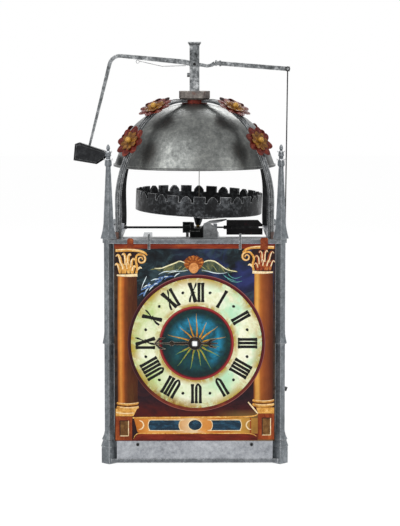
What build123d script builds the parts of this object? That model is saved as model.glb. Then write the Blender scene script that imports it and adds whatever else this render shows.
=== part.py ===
from build123d import *
import os
from math import atan2, cos, degrees, hypot, pi, radians, sin, sqrt, tan

# A small iron chamber clock of the gothic kind. Millimetres, up is +Z, the dial faces -Y,
# and the origin is in the middle of the base, on the surface that the clock stands on.

# Frame of four pillars and flat rails
pillar_spacing_x = 172.0
pillar_spacing_y = 172.0
shaft_half = 4.75           # half diagonal of the square shaft, which stands cornerwise
foot_half = 8.0             # the same at the foot
foot_height = 17.0
frame_height = 227.0        # top of the top rails
rail_width = 18.0
rail_thickness = 4.0
rail_overhang = 6.0         # outer edge of a rail beyond the pillar's axis
base_clearance = 1.2        # under the base rails
drip_half = 8.0             # half diagonal at the lip of a drip moulding
drip_steps = 5
waist_drip_half = 6.6
back_cap_height = 6.0       # low pyramid on each of the two back pillars
waist_share = 0.537         # height of the waist drip, as a share of the frame's
pinnacle_height = 94.5      # from the top rail to the finial's tip
pinnacle_half = 4.4
pinnacle_neck_half = 2.45
neck_share = 0.765          # where the finial begins, as a share of the pinnacle
finial_steps = 22
sill_height = 18.3
sill_thickness = 3.0
sill_setback = 1.0          # sill and front bar behind the dial's front

# Dial
dial_thickness = 1.6
dial_side_gap = 5.5         # from the pillar's axis to the dial's edge
dial_seat_gap = 0.1
dial_centre_drop = 0.25     # the hand's axis below the middle of the dial plate
dial_pin_drop = 3.6
dial_pin_radius = 0.9
dial_pin_shares = (-0.667, 0.664)     # places along half the frame's width
tab_shares = (-0.53, 0.527)
tab_width = 2.4
tab_thickness = 1.0
tab_hook = 6.0
hand_reach = 41.0
hand_tail = 23.0
hand_thickness = 1.4
hand_gap = 1.2
hand_bore = 3.0
hand_collar = 6.7
nut_radius = 3.4

# Pivot bars and the bars that carry them
bar_width = 14.0
bar_thickness = 4.0
crossbar_width = 16.0
front_bar_inset = 10.0      # front face of the going train's front bar behind the dial's
rear_bar_gap = 3.0          # between its rear bar and the escape wheel
crossbar_lead = 6.0         # of the crossbars' front edge before the rear bar
strike_rail_width = 9.0
bearer_lap = 6.0            # of the upper crossbar and strike rails on the top rails
back_rail_drop = 15.4       # of the upper back rail below the other three
left_bar_x = -52.0          # left faces of the strike train's two bars
right_bar_x = 20.0
strike_y = 38.0             # plane of the strike train's arbors

# Trains: teeth and centre distances
hour_distance = 21.0        # from the going great arbor up to the hand's
going_teeth = (72, 8, 72, 8)
going_distances = (45.0, 40.0)
hour_teeth = (6, 36)
fly_rise = 1.0              # fly arbor above the top rails
strike_teeth = (64, 8, 56, 8, 56, 8)
strike_distances = (45.0, 43.0, 41.0)
count_teeth = (8, 78)
count_distance = 39.0
strike_wheel_x = (-14.0, -34.0, -7.5)
wheel_thickness = 3.0
arbor_radius = 2.2
great_arbor_radius = 3.0
pivot_radius = 1.5
pivot_clearance = 0.05
running_gap = 0.3
pinion_length = 10.0
motion_gap = 4.0            # between the dial and the hour wheel
motion_thickness = 1.6
bar_to_great = 13.0         # from a bar to the middle of the going great wheel
bar_to_second = 10.0
pivot_end = 2.0             # of the great arbors beyond the bars
pulley_radius = 18.0
pulley_flange = 23.0
pulley_width = 16.0
pin_count = 8
pin_radius = 1.5
pin_length = 6.5
hoop_radius = 27.5
hoop_wall = 2.0
hoop_depth = 4.0
count_band = 2.8
fly_half_height = 7.9
fly_corner = 5.0            # cut off the vane's upper outer corner
fly_wire_radius = 0.9
fly_start = 14.0            # vane beyond the right-hand strike bar
fly_end_gap = 1.7           # between the vane and the side rail
fly_cock_half = 5.0

# Escapement
escape_radius = 18.0
escape_teeth = 15
escape_depth = 12.6
escape_gap = 0.4
escape_wall = 1.8
escape_floor = 2.0
verge_x = 4.6               # verge axis at the height of the balance
verge_lean = 2.2            # degrees by which the hung verge leans to the right
verge_pitch = 1.4           # and by which it leans to the front
verge_radius = 1.8
pallet_reach = 6.0
balance_rise = 31.9         # middle of the balance's band above the top rails
balance_radius = 65.6
balance_band = 20.6
balance_wall = 2.4
merlon_depth = 6.4
merlon_pairs = 15
merlon_square = 12.0
merlon_arch = 10.6
arm_azimuth = -54.0
arm_width = 7.0
arm_depth = 3.2
cock_rise = 5.5             # top of the verge cock above the rails
cock_thickness = 3.0
cock_crest = ((5.0, -3.0), (5.0, -1.0), (9.5, 4.0), (16.0, 4.8), (21.0, 2.2), (23.4, -3.0))
cock_leaf = ((9.5, 3.6), (16.0, 6.4), (24.0, 7.4), (33.0, 9.2))
potence_drop = 11.0         # top of the lower potence below the escape wheel
verge_pivot = 3.5
verge_shoulder = 0.6
verge_head = 3.0            # top of the verge above the middle of the band
thread_radius = 0.35

# Bell and its crown of straps
bell_radius = 83.6
bell_rise = 68.5            # rim above the top rails
bell_height = 64.5
bell_wall = 2.6
bell_lip = (0.5, 1.2, 2.2)  # how far it stands out and in, and its height
bell_shape = ((1.0, 0.0), (0.953, 0.167), (0.891, 0.364), (0.813, 0.545), (0.694, 0.712),
              (0.538, 0.848), (0.371, 0.932), (0.144, 1.0))
bolt_radius = 3.2
bolt_nut = (7.5, 5.5)       # radius over corners, and height
hook_drop = 5.5
hook_offset = 0.6
washer_thickness = 4.2
washer_radius = 13.0
strap_foot_inset = 14.42    # inner line of a strap's foot inside the pillar's axis
strap_width = 6.6
strap_thickness = 2.4
strap_ridge = 0.8
strap_ridge_width = 3.0
strap_end_gap = 0.4         # between a strap's end and the washer
strap_top_gap = 0.1         # under the crown block
strap_shape = ((1.0, 0.0), (1.0, 0.209), (0.998, 0.323), (0.933, 0.502), (0.839, 0.635),
               (0.694, 0.795), (0.526, 0.898), (0.259, 0.984), (0.0, 1.0))
crown_width = 31.8
crown_thickness = 8.7
crown_corner = 6.6
wedge_gap = 0.5
rosette_radius = 17.0
rosette_stations = (0.523, 0.767)   # places along the strap, as shares of its length
rosette_petals = 6
rosette_rise = 1.4
petal_thickness = 1.0
petal_gap = 0.3
stem_radius = 1.6
rivet_radius = 2.9

# Hammer
post_width = 10.1
post_height = 45.8
post_cap_width = 13.6
post_cap_height = 4.6
hammer_pivot_rise = 27.5    # above the crown block
post_fork_depth = 10.0
hammer_arm_thickness = 4.0
hammer_side_gap = 0.3
hammer_pin_radius = 1.5
hammer_pin_head = 1.8
hammer_bend_out = 85.3
hammer_bend_rise = 9.6      # above the pivot
hammer_bend_radius = 11.0
hammer_bend_steps = 5
hammer_head_out = 108.4
hammer_head_rise = 22.5     # above the bell's rim
hammer_head_width = 15.0
hammer_tang = 5.0           # of the arm, down into the head
hammer_head_shape = ((-16.9, -16.6), (-15.4, 0.2), (-10.7, 1.8), (8.9, -4.6), (22.4, -9.0),
                     (14.3, -16.1), (7.2, -20.6))
tail_start_x = 24.6
tail_start_rise = 1.0
tail_end_x = 96.1
tail_end_drop = 4.8         # below the pivot
collar_places = (22.4, 26.6)
spring_width = 0.7
spring_share = 0.67         # of the arm's reach, where the spring is tied on
spring_loop = (1.9, 1.3)
wire_radius = 0.65
wire_gap = 1.6
peg_radius = 1.2
lever_drop = 37.0           # lifting lever's pivot below the strike great arbor
lever_reach = 70.5
lever_boss = 4.0
lever_stud_radius = 1.9


def box(x0, x1, y0, y1, z0, z1):
    """A block between two corners."""
    size = (x1 - x0, y1 - y0, z1 - z0)
    return Pos((x0 + x1) / 2, (y0 + y1) / 2, (z0 + z1) / 2) * Box(*size)


def rod(start, direction, length, radius, end_radius=None):
    """A round rod or cone from start, along direction."""
    plane = Plane(origin=start, z_dir=direction)
    up = (Align.CENTER, Align.CENTER, Align.MIN)
    if end_radius is None:
        return plane * Cylinder(radius, length, align=up)
    return plane * Cone(radius, end_radius, length, align=up)


def front_plate(sketch, y_front, thickness):
    """A sketch of X and Z, thickened backwards from y_front."""
    plane = Plane(origin=(0, y_front, 0), x_dir=(1, 0, 0), z_dir=(0, -1, 0))
    return extrude(plane * sketch, -thickness)


def side_plate(sketch, x_left, thickness):
    """A sketch of Y and Z, thickened to the right from x_left."""
    plane = Plane(origin=(x_left, 0, 0), x_dir=(0, 1, 0), z_dir=(1, 0, 0))
    return extrude(plane * sketch, thickness)


def flat(points):
    """Face of a closed outline, whichever way round its points run."""
    turns = sum(a[0] * b[1] - b[0] * a[1] for a, b in zip(points, points[1:] + points[:1]))
    return Polygon(*(points if turns > 0 else points[::-1]), align=None)


def tapered_bar(points, widths):
    """Flat outline of a forged bar along points, as wide as widths says at each."""
    outline = Sketch()
    for a, b, wide_a, wide_b in zip(points, points[1:], widths, widths[1:]):
        length = hypot(b[0] - a[0], b[1] - a[1])
        u, v = (a[1] - b[1]) / length / 2, (b[0] - a[0]) / length / 2
        outline += flat([(a[0] + u * wide_a, a[1] + v * wide_a),
                         (b[0] + u * wide_b, b[1] + v * wide_b),
                         (b[0] - u * wide_b, b[1] - v * wide_b),
                         (a[0] - u * wide_a, a[1] - v * wide_a)])
    for point, width in list(zip(points, widths))[1:-1]:
        outline += Pos(*point) * Circle(width / 2)
    return outline


def offset_points(points, distance):
    """Points moved sideways to the left of their direction of travel."""
    moved = []
    for i, (u, v) in enumerate(points):
        before, after = points[max(i - 1, 0)], points[min(i + 1, len(points) - 1)]
        du, dv = after[0] - before[0], after[1] - before[1]
        scale = distance / hypot(du, dv)
        moved.append((u - dv * scale, v + du * scale))
    return moved


def band_face(points, distance):
    """Flat face between a smooth curve through points and its offset."""
    other = offset_points(points, distance)
    near, far = Spline(*points), Spline(*other)
    edges = [near, far, Line(points[0], other[0]), Line(points[-1], other[-1])]
    return make_face(edges)


def radial_solid(face, width, azimuth):
    """A face of radius and height, thickened evenly and turned to its azimuth."""
    plane = Plane(origin=(0, 0, 0), x_dir=(1, 0, 0), z_dir=(0, -1, 0))
    return Rot(0, 0, azimuth) * extrude(plane * face, width / 2, both=True)


def tooth_outline(teeth, module, phase):
    """Closed outline of straight-sided teeth, one of them centred on phase, in degrees."""
    tip = module * (teeth / 2 + 0.65)
    root = module * (teeth / 2 - 1.0)
    points = []
    for i in range(teeth):
        centre = phase + 360 * i / teeth
        for radius, share in ((root, -0.26), (tip, -0.11), (tip, 0.11), (root, 0.26)):
            turn = radians(centre + share * 360 / teeth)
            points.append((radius * cos(turn), radius * sin(turn)))
    return flat(points)


def wheel_sketch(teeth, module, phase, bore, hub=8.0, rim=6.0, spoke=4.0, spokes=4):
    """A toothed wheel with crossed-out spokes."""
    inner = module * (teeth / 2 - 1.0) - rim
    window = Circle(inner) - Circle(hub)
    for i in range(spokes):
        window -= Rot(0, 0, 45 + 180 * i / (spokes / 2)) * Rectangle(2.2 * inner, spoke)
    return tooth_outline(teeth, module, phase) - window - Circle(bore)


def gear_module(wheel, pinion, distance):
    return 2 * distance / (wheel + pinion)


def loft_squares(sections):
    """A square bar, standing cornerwise, through sections of height and half diagonal."""
    faces = [Pos(0, 0, z) * Rot(0, 0, 45) * Rectangle(h * sqrt(2), h * sqrt(2))
             for z, h in sections]
    return loft(faces, ruled=True)


# Places that several pieces share
pillar_x = pillar_spacing_x / 2
pillar_y = pillar_spacing_y / 2
rail_outer_x = pillar_x + rail_overhang
rail_outer_y = pillar_y + rail_overhang
rail_inner_x = rail_outer_x - rail_width
rail_inner_y = rail_outer_y - rail_width
rail_bottom = frame_height - rail_thickness
bearer_low = rail_bottom - rail_thickness
back_rail_top = frame_height - back_rail_drop
base_top = base_clearance + rail_thickness
sill_top = base_top + sill_height
dial_front = -rail_outer_y
dial_back = dial_front + dial_thickness
dial_centre_height = (sill_top + rail_bottom) / 2 - dial_centre_drop
hand_front = dial_front - hand_gap - hand_thickness
motion_y = dial_back + motion_gap       # front face of the hour wheel
escape_tip_y = -pallet_reach - escape_gap
escape_back_y = escape_tip_y - escape_depth
front_bar_y = dial_front + front_bar_inset
front_bar_back = front_bar_y + bar_thickness
rear_bar_back = escape_back_y - rear_bar_gap
rear_bar_y = rear_bar_back - bar_thickness
crossbar_y = rear_bar_y - crossbar_lead
going_great_height = dial_centre_height - hour_distance
going_heights = (going_great_height, going_great_height + going_distances[0],
                 going_great_height + sum(going_distances))
escape_height = going_heights[-1]
strike_great_height = frame_height + fly_rise - sum(strike_distances)
left_bar_right = left_bar_x + bar_thickness
right_bar_right = right_bar_x + bar_thickness
pivot_hole = pivot_radius + pivot_clearance
great_y = front_bar_back + bar_to_great
second_y = rear_bar_y - bar_to_second
fly_left_x = -rail_inner_x + running_gap
balance_height = frame_height + balance_rise
cock_top = frame_height + cock_rise
potence_top = escape_height - escape_radius - potence_drop
verge_low = potence_top + 0.5 - balance_height
bell_rim_height = frame_height + bell_rise
bell_top_height = bell_rim_height + bell_height
bolt_low = bell_top_height - bell_wall - bolt_nut[1]
hook_height = bolt_low - hook_drop
washer_top = bell_top_height + washer_thickness
crown_top = washer_top + crown_thickness
strap_foot_radius = hypot(pillar_x, pillar_y) - strap_foot_inset
hammer_pivot_height = crown_top + hammer_pivot_rise
hammer_bend = (-hammer_bend_out, hammer_pivot_height + hammer_bend_rise)
hammer_head_joint = (-hammer_head_out, bell_rim_height + hammer_head_rise)
tail_start = (tail_start_x, hammer_pivot_height + tail_start_rise)
tail_end = (tail_end_x, hammer_pivot_height - tail_end_drop)
wire_y = -hammer_arm_thickness / 2 - wire_gap
lever_pivot = (right_bar_x + bar_thickness / 2, strike_great_height - lever_drop)
lever_end = (lever_pivot[0] + lever_reach, lever_pivot[1])
corners = {"front_left": (-1, -1), "front_right": (1, -1),
           "back_left": (-1, 1), "back_right": (1, 1)}
parts = {}


def drip(height, lip, shaft, reach):
    """Sections of a drip moulding: undercut lip, then a hollow curve up to the shaft."""
    sections = [(height - 0.9, shaft), (height, lip)]
    for i in range(1, drip_steps + 1):
        share = i / drip_steps
        sections.append((height + 0.6 + share * reach, shaft + (lip - shaft) * (1 - share) ** 2))
    return sections


def make_pillars():
    """Four forged pillars; the front two end in pinnacle and finial, the back two in a low cap."""
    neck = frame_height + neck_share * pinnacle_height
    tip = frame_height + pinnacle_height
    step = (tip - neck) / finial_steps
    thick, thin = 1.5 * pinnacle_neck_half, 0.9 * pinnacle_neck_half
    sections = [(0, foot_half), (foot_height, foot_half)]
    sections += [(foot_height + 0.4, foot_half + 0.5), (foot_height + 6.6, foot_half - 1.4)]
    sections += [(foot_height + 7.4, drip_half - 0.3), (foot_height + 12.0, shaft_half + 0.9)]
    sections += [(foot_height + 16.0, shaft_half)]
    sections += drip(waist_share * frame_height, waist_drip_half, shaft_half, 13.0)
    sections += [(frame_height, shaft_half), (frame_height + 0.6, drip_half)]
    low = loft_squares(sections + [(frame_height + 1.6, drip_half),
                                   (frame_height + back_cap_height, 1.0)])
    sections += drip(frame_height + 0.7, drip_half, pinnacle_half + 0.5, 19.0)[2:]
    sections += [(neck, pinnacle_neck_half), (neck + step, pinnacle_neck_half + 0.9)]
    sections += [(neck + 2 * step, thick), (neck + 6 * step, 0.9 * thick)]
    sections += [(neck + 7 * step, thin), (neck + 10 * step, thin)]
    sections += [(neck + 11 * step, 0.83 * thick), (neck + 15 * step, 0.62 * thick)]
    sections += [(neck + 16 * step, 0.55 * thin), (neck + 18 * step, 0.9 * thin)]
    sections += [(neck + 20 * step, 0.77 * thin)]
    sections += [(tip, 0.5)]
    tall = loft_squares(sections)
    for name, (sx, sy) in corners.items():
        pillar = tall if sy < 0 else low
        parts["pillar_" + name] = Pos(sx * pillar_x, sy * pillar_y, 0) * pillar


def rail(half_length, half_depth, inner_length, inner_depth, outer_depth, notch,
         square=(False, False)):
    """Flat outline of a rail on the -Y side, notched for the pillars, mitred or square."""
    left, right = (half_length if end else inner_length for end in square)
    outline = flat([(-left, -inner_depth), (-half_length, -half_depth),
                    (-half_length, -outer_depth), (half_length, -outer_depth),
                    (half_length, -half_depth), (right, -inner_depth)])
    side = notch * sqrt(2)
    for sx in (-1, 1):
        outline -= Pos(sx * half_length, -half_depth) * Rot(0, 0, 45) * Rectangle(side, side)
    return outline


def make_rails():
    """Two frames of four flat rails, the upper back one lower, and the sill plate."""
    along_x = (pillar_x, pillar_y, rail_inner_x, rail_inner_y, rail_outer_y)
    along_y = (pillar_y, pillar_x, rail_inner_y, rail_inner_x, rail_outer_x)
    turns = {"front": (along_x, 0, 0, (False, False)),
             "right": (along_y, 90, 0, (False, True)),
             "back": (along_x, 180, back_rail_drop, (True, True)),
             "left": (along_y, 270, 0, (True, False))}
    base_rails = []
    for name, (sizes, turn, drop, square) in turns.items():
        top = extrude(rail(*sizes, shaft_half, square), rail_thickness)
        parts["top_rail_" + name] = Pos(0, 0, rail_bottom - drop) * Rot(0, 0, turn) * top
        low = extrude(rail(*sizes, foot_half), rail_thickness)
        base_rails.append(Pos(0, 0, base_clearance) * Rot(0, 0, turn) * low)
    parts["base_rails"] = Compound(base_rails)
    half = pillar_x - foot_half + 0.4
    sill_front = dial_front + sill_setback
    sill = box(-half, half, sill_front, sill_front + sill_thickness, base_top, sill_top)
    for share in dial_pin_shares:
        place = (share * pillar_x, dial_front, sill_top - dial_pin_drop)
        sill -= rod(place, (0, 1, 0), 3 * sill_thickness, dial_pin_radius)
    parts["front_sill"] = sill


def make_dial():
    """Iron dial plate with two hook tabs over the top rail, and two pins in the sill."""
    half = pillar_x - dial_side_gap
    low, high = sill_top + dial_seat_gap, rail_bottom - dial_seat_gap
    plate = box(-half, half, dial_front, dial_back, low, high)
    plate -= rod((0, dial_front - 1, dial_centre_height), (0, 1, 0), 5, arbor_radius + 0.6)
    parts["dial_plate"] = plate
    tabs = []
    for share in tab_shares:
        x0, x1 = share * pillar_x - tab_width / 2, share * pillar_x + tab_width / 2
        tab = box(x0, x1, dial_front - tab_thickness, dial_front, rail_bottom - tab_hook,
                  frame_height + tab_hook)
        tab += box(x0, x1, dial_front, dial_front + tab_hook, frame_height,
                   frame_height + tab_thickness)
        tabs.append(tab)
    parts["dial_tabs"] = Compound(tabs)
    pins = []
    for share in dial_pin_shares:
        x, z = share * pillar_x, sill_top - dial_pin_drop
        shank = rod((x, dial_front, z), (0, 1, 0), sill_setback + sill_thickness,
                    dial_pin_radius)
        head = rod((x, dial_front - sill_setback, z), (0, 1, 0), 2 * sill_setback,
                   1.8 * dial_pin_radius)
        pins.append(shank + head)
    parts["dial_pins"] = Compound(pins)


def make_hand():
    """The single hour hand, pointing to the left, with a leaf-shaped tail."""
    reach, tail = hand_reach, hand_tail
    outline = tapered_bar([(-reach, 0), (-0.55 * reach, 0), (0, 0)], [0.8, 2.2, 3.6])
    outline += tapered_bar([(0, 0), (0.55 * tail, 0), (tail, 0)], [3.4, 1.8, 0.9])
    outline += Circle(hand_collar)
    outline += Pos(-0.56 * reach, 0) * Circle(2.6)
    for side in (-1, 1):
        barb = [(-0.97 * reach, 0), (-0.86 * reach, side * 4.4), (-0.72 * reach, side * 5.8)]
        leaf = [(0.5 * tail, 0), (0.7 * tail, side * 3.0), (0.95 * tail, side * 4.6)]
        outline += tapered_bar(barb, [1.2, 2.4, 1.0]) + tapered_bar(leaf, [1.6, 2.4, 0.8])
    outline += Pos(0.62 * tail, 0) * Circle(2.2)
    outline -= Circle(hand_bore / 2)
    hand = front_plate(Pos(0, dial_centre_height) * outline, hand_front, hand_thickness)
    parts["hour_hand"] = hand


def make_motion_work():
    """Hour wheel on the hand's arbor, and the round nut that holds the hand."""
    wheel_teeth = hour_teeth[1]
    module = gear_module(*hour_teeth, hour_distance)
    # The driving pinion lies straight below, so a gap of it meets this tooth.
    outline = wheel_sketch(wheel_teeth, module, -90, pivot_radius, hub=4.5, rim=2.5, spoke=2.5)
    wheel = front_plate(Pos(0, dial_centre_height) * outline, motion_y, motion_thickness)
    centre = (0, hand_front - hand_thickness, dial_centre_height)
    arbor = rod(centre, (0, 1, 0), front_bar_back - centre[1], pivot_radius)
    nut = rod(centre, (0, 1, 0), hand_thickness, nut_radius)
    sleeve_start = dial_front - hand_gap
    sleeve = rod((0, sleeve_start, dial_centre_height), (0, 1, 0),
                 motion_y - sleeve_start, arbor_radius)
    parts["hour_wheel"] = Compound([wheel, arbor + nut + sleeve])


def arbor_y(z, x, y0, y1, shank0, shank1, radius):
    """An arbor along Y with thinner pivots at both ends."""
    whole = rod((x, y0, z), (0, 1, 0), y1 - y0, pivot_radius)
    return whole + rod((x, shank0, z), (0, 1, 0), shank1 - shank0, radius)


def arbor_x(y, z, x0, x1, shank0, shank1, radius):
    """An arbor along X with thinner pivots at both ends."""
    whole = rod((x0, y, z), (1, 0, 0), x1 - x0, pivot_radius)
    return whole + rod((shank0, y, z), (1, 0, 0), shank1 - shank0, radius)


def pulley_profile():
    """Half section of a grooved rope pulley: place along the axis, and radius."""
    half = pulley_width / 2
    rim = pulley_flange
    return [(-half, 0), (-half, rim), (-half + 2, rim), (-half + 5, pulley_radius),
            (half - 5, pulley_radius), (half - 2, rim), (half, rim), (half, 0)]


def pulley(direction):
    """A rope pulley with short spikes in its groove, centred on the origin."""
    face = flat([(radius, along) for along, radius in pulley_profile()])
    wheel = revolve(Plane.XZ * face, Axis.Z)
    wheel -= Cylinder(great_arbor_radius + pivot_clearance, pulley_width + 2)
    for i in range(6):
        spike = rod((pulley_radius - 1, 0, 0), (1, 0, 0), 4.5, 1.0, 0.5)
        wheel += Rot(0, 0, 60 * i) * spike
    return Plane(origin=(0, 0, 0), z_dir=direction) * wheel


def make_going_train():
    """Great wheel with its rope pulley, and the second wheel, on arbors along Y."""
    first, lantern, second, last = going_teeth
    inner0, inner1 = front_bar_back + running_gap, rear_bar_y - running_gap
    z1, z2 = going_heights[:2]
    module = gear_module(first, lantern, going_distances[0])
    wheel = wheel_sketch(first, module, 90, great_arbor_radius)
    great = front_plate(Pos(0, z1) * wheel, great_y - wheel_thickness / 2, wheel_thickness)
    drive_y = motion_y - motion_thickness
    arbor = arbor_y(z1, 0, drive_y, rear_bar_back + pivot_end, inner0, inner1, great_arbor_radius)
    hour_module = gear_module(*hour_teeth, hour_distance)
    drive_teeth = tooth_outline(hour_teeth[0], hour_module, 90 + 180 / hour_teeth[0])
    drive = front_plate(Pos(0, z1) * drive_teeth, drive_y, front_bar_y - drive_y - running_gap)
    parts["going_great_wheel"] = Compound([great, arbor + drive])
    rope_y = great_y + wheel_thickness / 2 + running_gap + pulley_width / 2
    parts["going_rope_pulley"] = Pos(0, rope_y, z1) * pulley((0, 1, 0))
    leaves = tooth_outline(lantern, module, -90 + 180 / lantern)
    pinion = front_plate(Pos(0, z2) * leaves, great_y - pinion_length / 2, pinion_length)
    shaft = arbor_y(z2, 0, front_bar_y, rear_bar_back, inner0, inner1, arbor_radius)
    module = gear_module(second, last, going_distances[1])
    wheel = wheel_sketch(second, module, 90, arbor_radius, hub=7.0)
    plate = front_plate(Pos(0, z2) * wheel, second_y - wheel_thickness / 2, wheel_thickness)
    parts["going_second_wheel"] = Compound([plate, shaft + pinion])


def make_escape_wheel():
    """Crown wheel: saw teeth on the edge of a drum that faces the verge."""
    z = escape_height
    inner = escape_radius - escape_wall
    drum = rod((0, escape_back_y, z), (0, 1, 0), escape_depth, escape_radius)
    drum -= rod((0, escape_back_y + escape_floor, z), (0, 1, 0), escape_depth, inner)
    tooth = 2 * pi * escape_radius / escape_teeth
    gap = flat([(-tooth / 2 + 0.5, 0.5), (-tooth / 2 + 0.5, -0.3), (tooth / 2 - 0.6, -6.5),
                (tooth / 2 - 0.1, 0.5)])
    for i in range(escape_teeth):
        angle = 360 * (i + 0.5) / escape_teeth
        plane = Plane(origin=(0, escape_tip_y, z), x_dir=(cos(radians(angle)), 0,
                      sin(radians(angle))), z_dir=(-sin(radians(angle)), 0, cos(radians(angle))))
        drum -= extrude(plane.offset(inner - 2) * gap, escape_wall + 4)
    window = Circle(inner - 2.2) - Circle(4.5)
    for turn in (45, 135):
        window -= Rot(0, 0, turn) * Rectangle(2 * escape_radius, 3)
    drum -= front_plate(Pos(0, z) * window, escape_back_y - 0.5, 3)
    drum -= rod((0, escape_back_y - 1, z), (0, 1, 0), 4, pivot_radius)
    last = going_teeth[3]
    module = gear_module(going_teeth[2], last, going_distances[1])
    leaves = tooth_outline(last, module, -90 + 180 / last)
    pinion = front_plate(Pos(0, z) * leaves, second_y - pinion_length / 2, pinion_length)
    shaft = arbor_y(z, 0, front_bar_y, escape_back_y + escape_floor,
                    front_bar_back + running_gap, rear_bar_y - running_gap,
                    arbor_radius - running_gap)
    parts["escape_wheel"] = Compound([drum, shaft + pinion])


def verge_frame():
    """The leaning verge axis, with its zero in the middle of the balance's band."""
    return Pos(verge_x, 0, balance_height) * Rot(verge_pitch, verge_lean, 0)


def make_verge():
    """Verge with its two pallets, and the pivot that stands in the lower potence."""
    body = rod((0, 0, verge_low), (0, 0, 1), verge_head - verge_low, verge_radius)
    body += rod((0, 0, verge_low - verge_pivot), (0, 0, 1), verge_pivot,
                verge_radius - verge_shoulder)
    escape_z = escape_height - balance_height
    for side, turn in ((1, -45), (-1, -135)):
        flag = box(0, pallet_reach - 0.5, -0.6, 0.6, -2.2, 2.2)
        body += Pos(0, 0, escape_z + side * (escape_radius - 1)) * Rot(0, 0, turn) * flag
    parts["verge"] = verge_frame() * body


def merlon_cutter():
    """What is cut away on both sides of one pointed merlon, drawn flat."""
    pitch = 2 * pi * balance_radius / merlon_pairs
    up = (Align.CENTER, Align.MIN)
    gap = Rectangle(pitch - merlon_square, merlon_depth + 1, align=up)
    spring, half = 0.3 * merlon_depth, merlon_arch / 2
    merlon = Rectangle(merlon_arch, spring + 0.1, align=up)
    merlon += flat([(-half, spring), (half, spring), (0.68 * half, 0.68 * merlon_depth),
                    (0.25 * half, merlon_depth), (-0.25 * half, merlon_depth),
                    (-0.68 * half, 0.68 * merlon_depth)])
    return gap - merlon


def make_balance():
    """Crenellated balance ring with one bent cross arm and a conical hub."""
    half = balance_band / 2
    ring = Cylinder(balance_radius, balance_band)
    ring -= Cylinder(balance_radius - balance_wall, balance_band + 2)
    cutter = merlon_cutter()
    for i in range(merlon_pairs):
        angle = radians(-90 + 360 * (i + 0.5) / merlon_pairs)
        out = (cos(angle), sin(angle), 0)
        plane = Plane(origin=(0, 0, half - merlon_depth), x_dir=(-out[1], out[0], 0), z_dir=out)
        ring -= extrude(plane.offset(balance_radius - 6) * cutter, 12)
    hub_top, hub_low = -half - 3.5, cock_top + 1.2 - balance_height
    inner = balance_radius - balance_wall
    arm = [(0, hub_top - 2), (0.25 * inner, hub_top - 2), (0.6 * inner, hub_top + 1.5),
           (0.9 * inner, -half + 1.0), (inner + 0.4, -half + 1.5)]
    outline = tapered_bar(arm, [arm_depth] * len(arm))
    bar = radial_solid(outline, arm_width, 0) + radial_solid(outline, arm_width, 180)
    hub = rod((0, 0, hub_low), (0, 0, 1), hub_top - hub_low, 2.6, 6.2)
    wheel = ring + Rot(0, 0, arm_azimuth) * bar + hub
    wheel -= rod((0, 0, hub_low - 1), (0, 0, 1), hub_top - hub_low + 4, verge_radius)
    parts["balance_wheel"] = verge_frame() * wheel


def make_verge_supports():
    """Cock on the crossbar, lower potence, and the thread that carries the verge."""
    low = cock_top - cock_thickness
    foot = box(-5, 24, crossbar_y + 5, crossbar_y + 15, rail_bottom, low)
    tongue = box(-3.5, 8.5, crossbar_y + 7, 5, low, cock_top)
    upright = box(-4.6, -0.4, crossbar_y + 7, crossbar_y + 11, low, cock_top + 6)
    crest = flat([(x, cock_top + rise) for x, rise in cock_crest])
    leaf = tapered_bar([(x, cock_top + rise) for x, rise in cock_leaf], [2.2, 3.0, 3.0, 1.0])
    cock = foot + tongue + upright
    cock += front_plate(crest, crossbar_y + 5, 3) + front_plate(leaf, crossbar_y + 5, 3)
    bore = rod((0, 0, verge_low), (0, 0, 1), -verge_low, verge_radius + pivot_clearance)
    parts["verge_cock"] = cock - verge_frame() * bore
    arm = box(-7, 6, rear_bar_back, 5, potence_top - 4, potence_top)
    arm += box(-7, 6, rear_bar_back, rear_bar_back + 3, potence_top - 12, potence_top)
    step = rod((0, 0, verge_low - verge_pivot - 1.5), (0, 0, 1), verge_pivot + 1.7,
               verge_radius - verge_shoulder + pivot_clearance)
    parts["lower_potence"] = arm - verge_frame() * step
    top = Vector(verge_x + hook_offset, 0, hook_height)
    low = (verge_frame() * Pos(0, 0, verge_head + running_gap)).position
    parts["suspension_thread"] = rod(low, top - low, (top - low).length, thread_radius)


def pivot_bar(centre, heights, top):
    """Flat outline of a vertical bar from the base rails up to top, with its pivot holes."""
    height = top - base_top
    bar = Pos(centre, base_top + height / 2) * Rectangle(bar_width, height)
    for z in heights:
        bar -= Pos(centre, z) * Circle(pivot_hole)
    return bar


def strike_heights():
    """Heights of the great, hoop, third and fly arbors."""
    heights = [strike_great_height]
    for distance in strike_distances:
        heights.append(heights[-1] + distance)
    return heights


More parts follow.
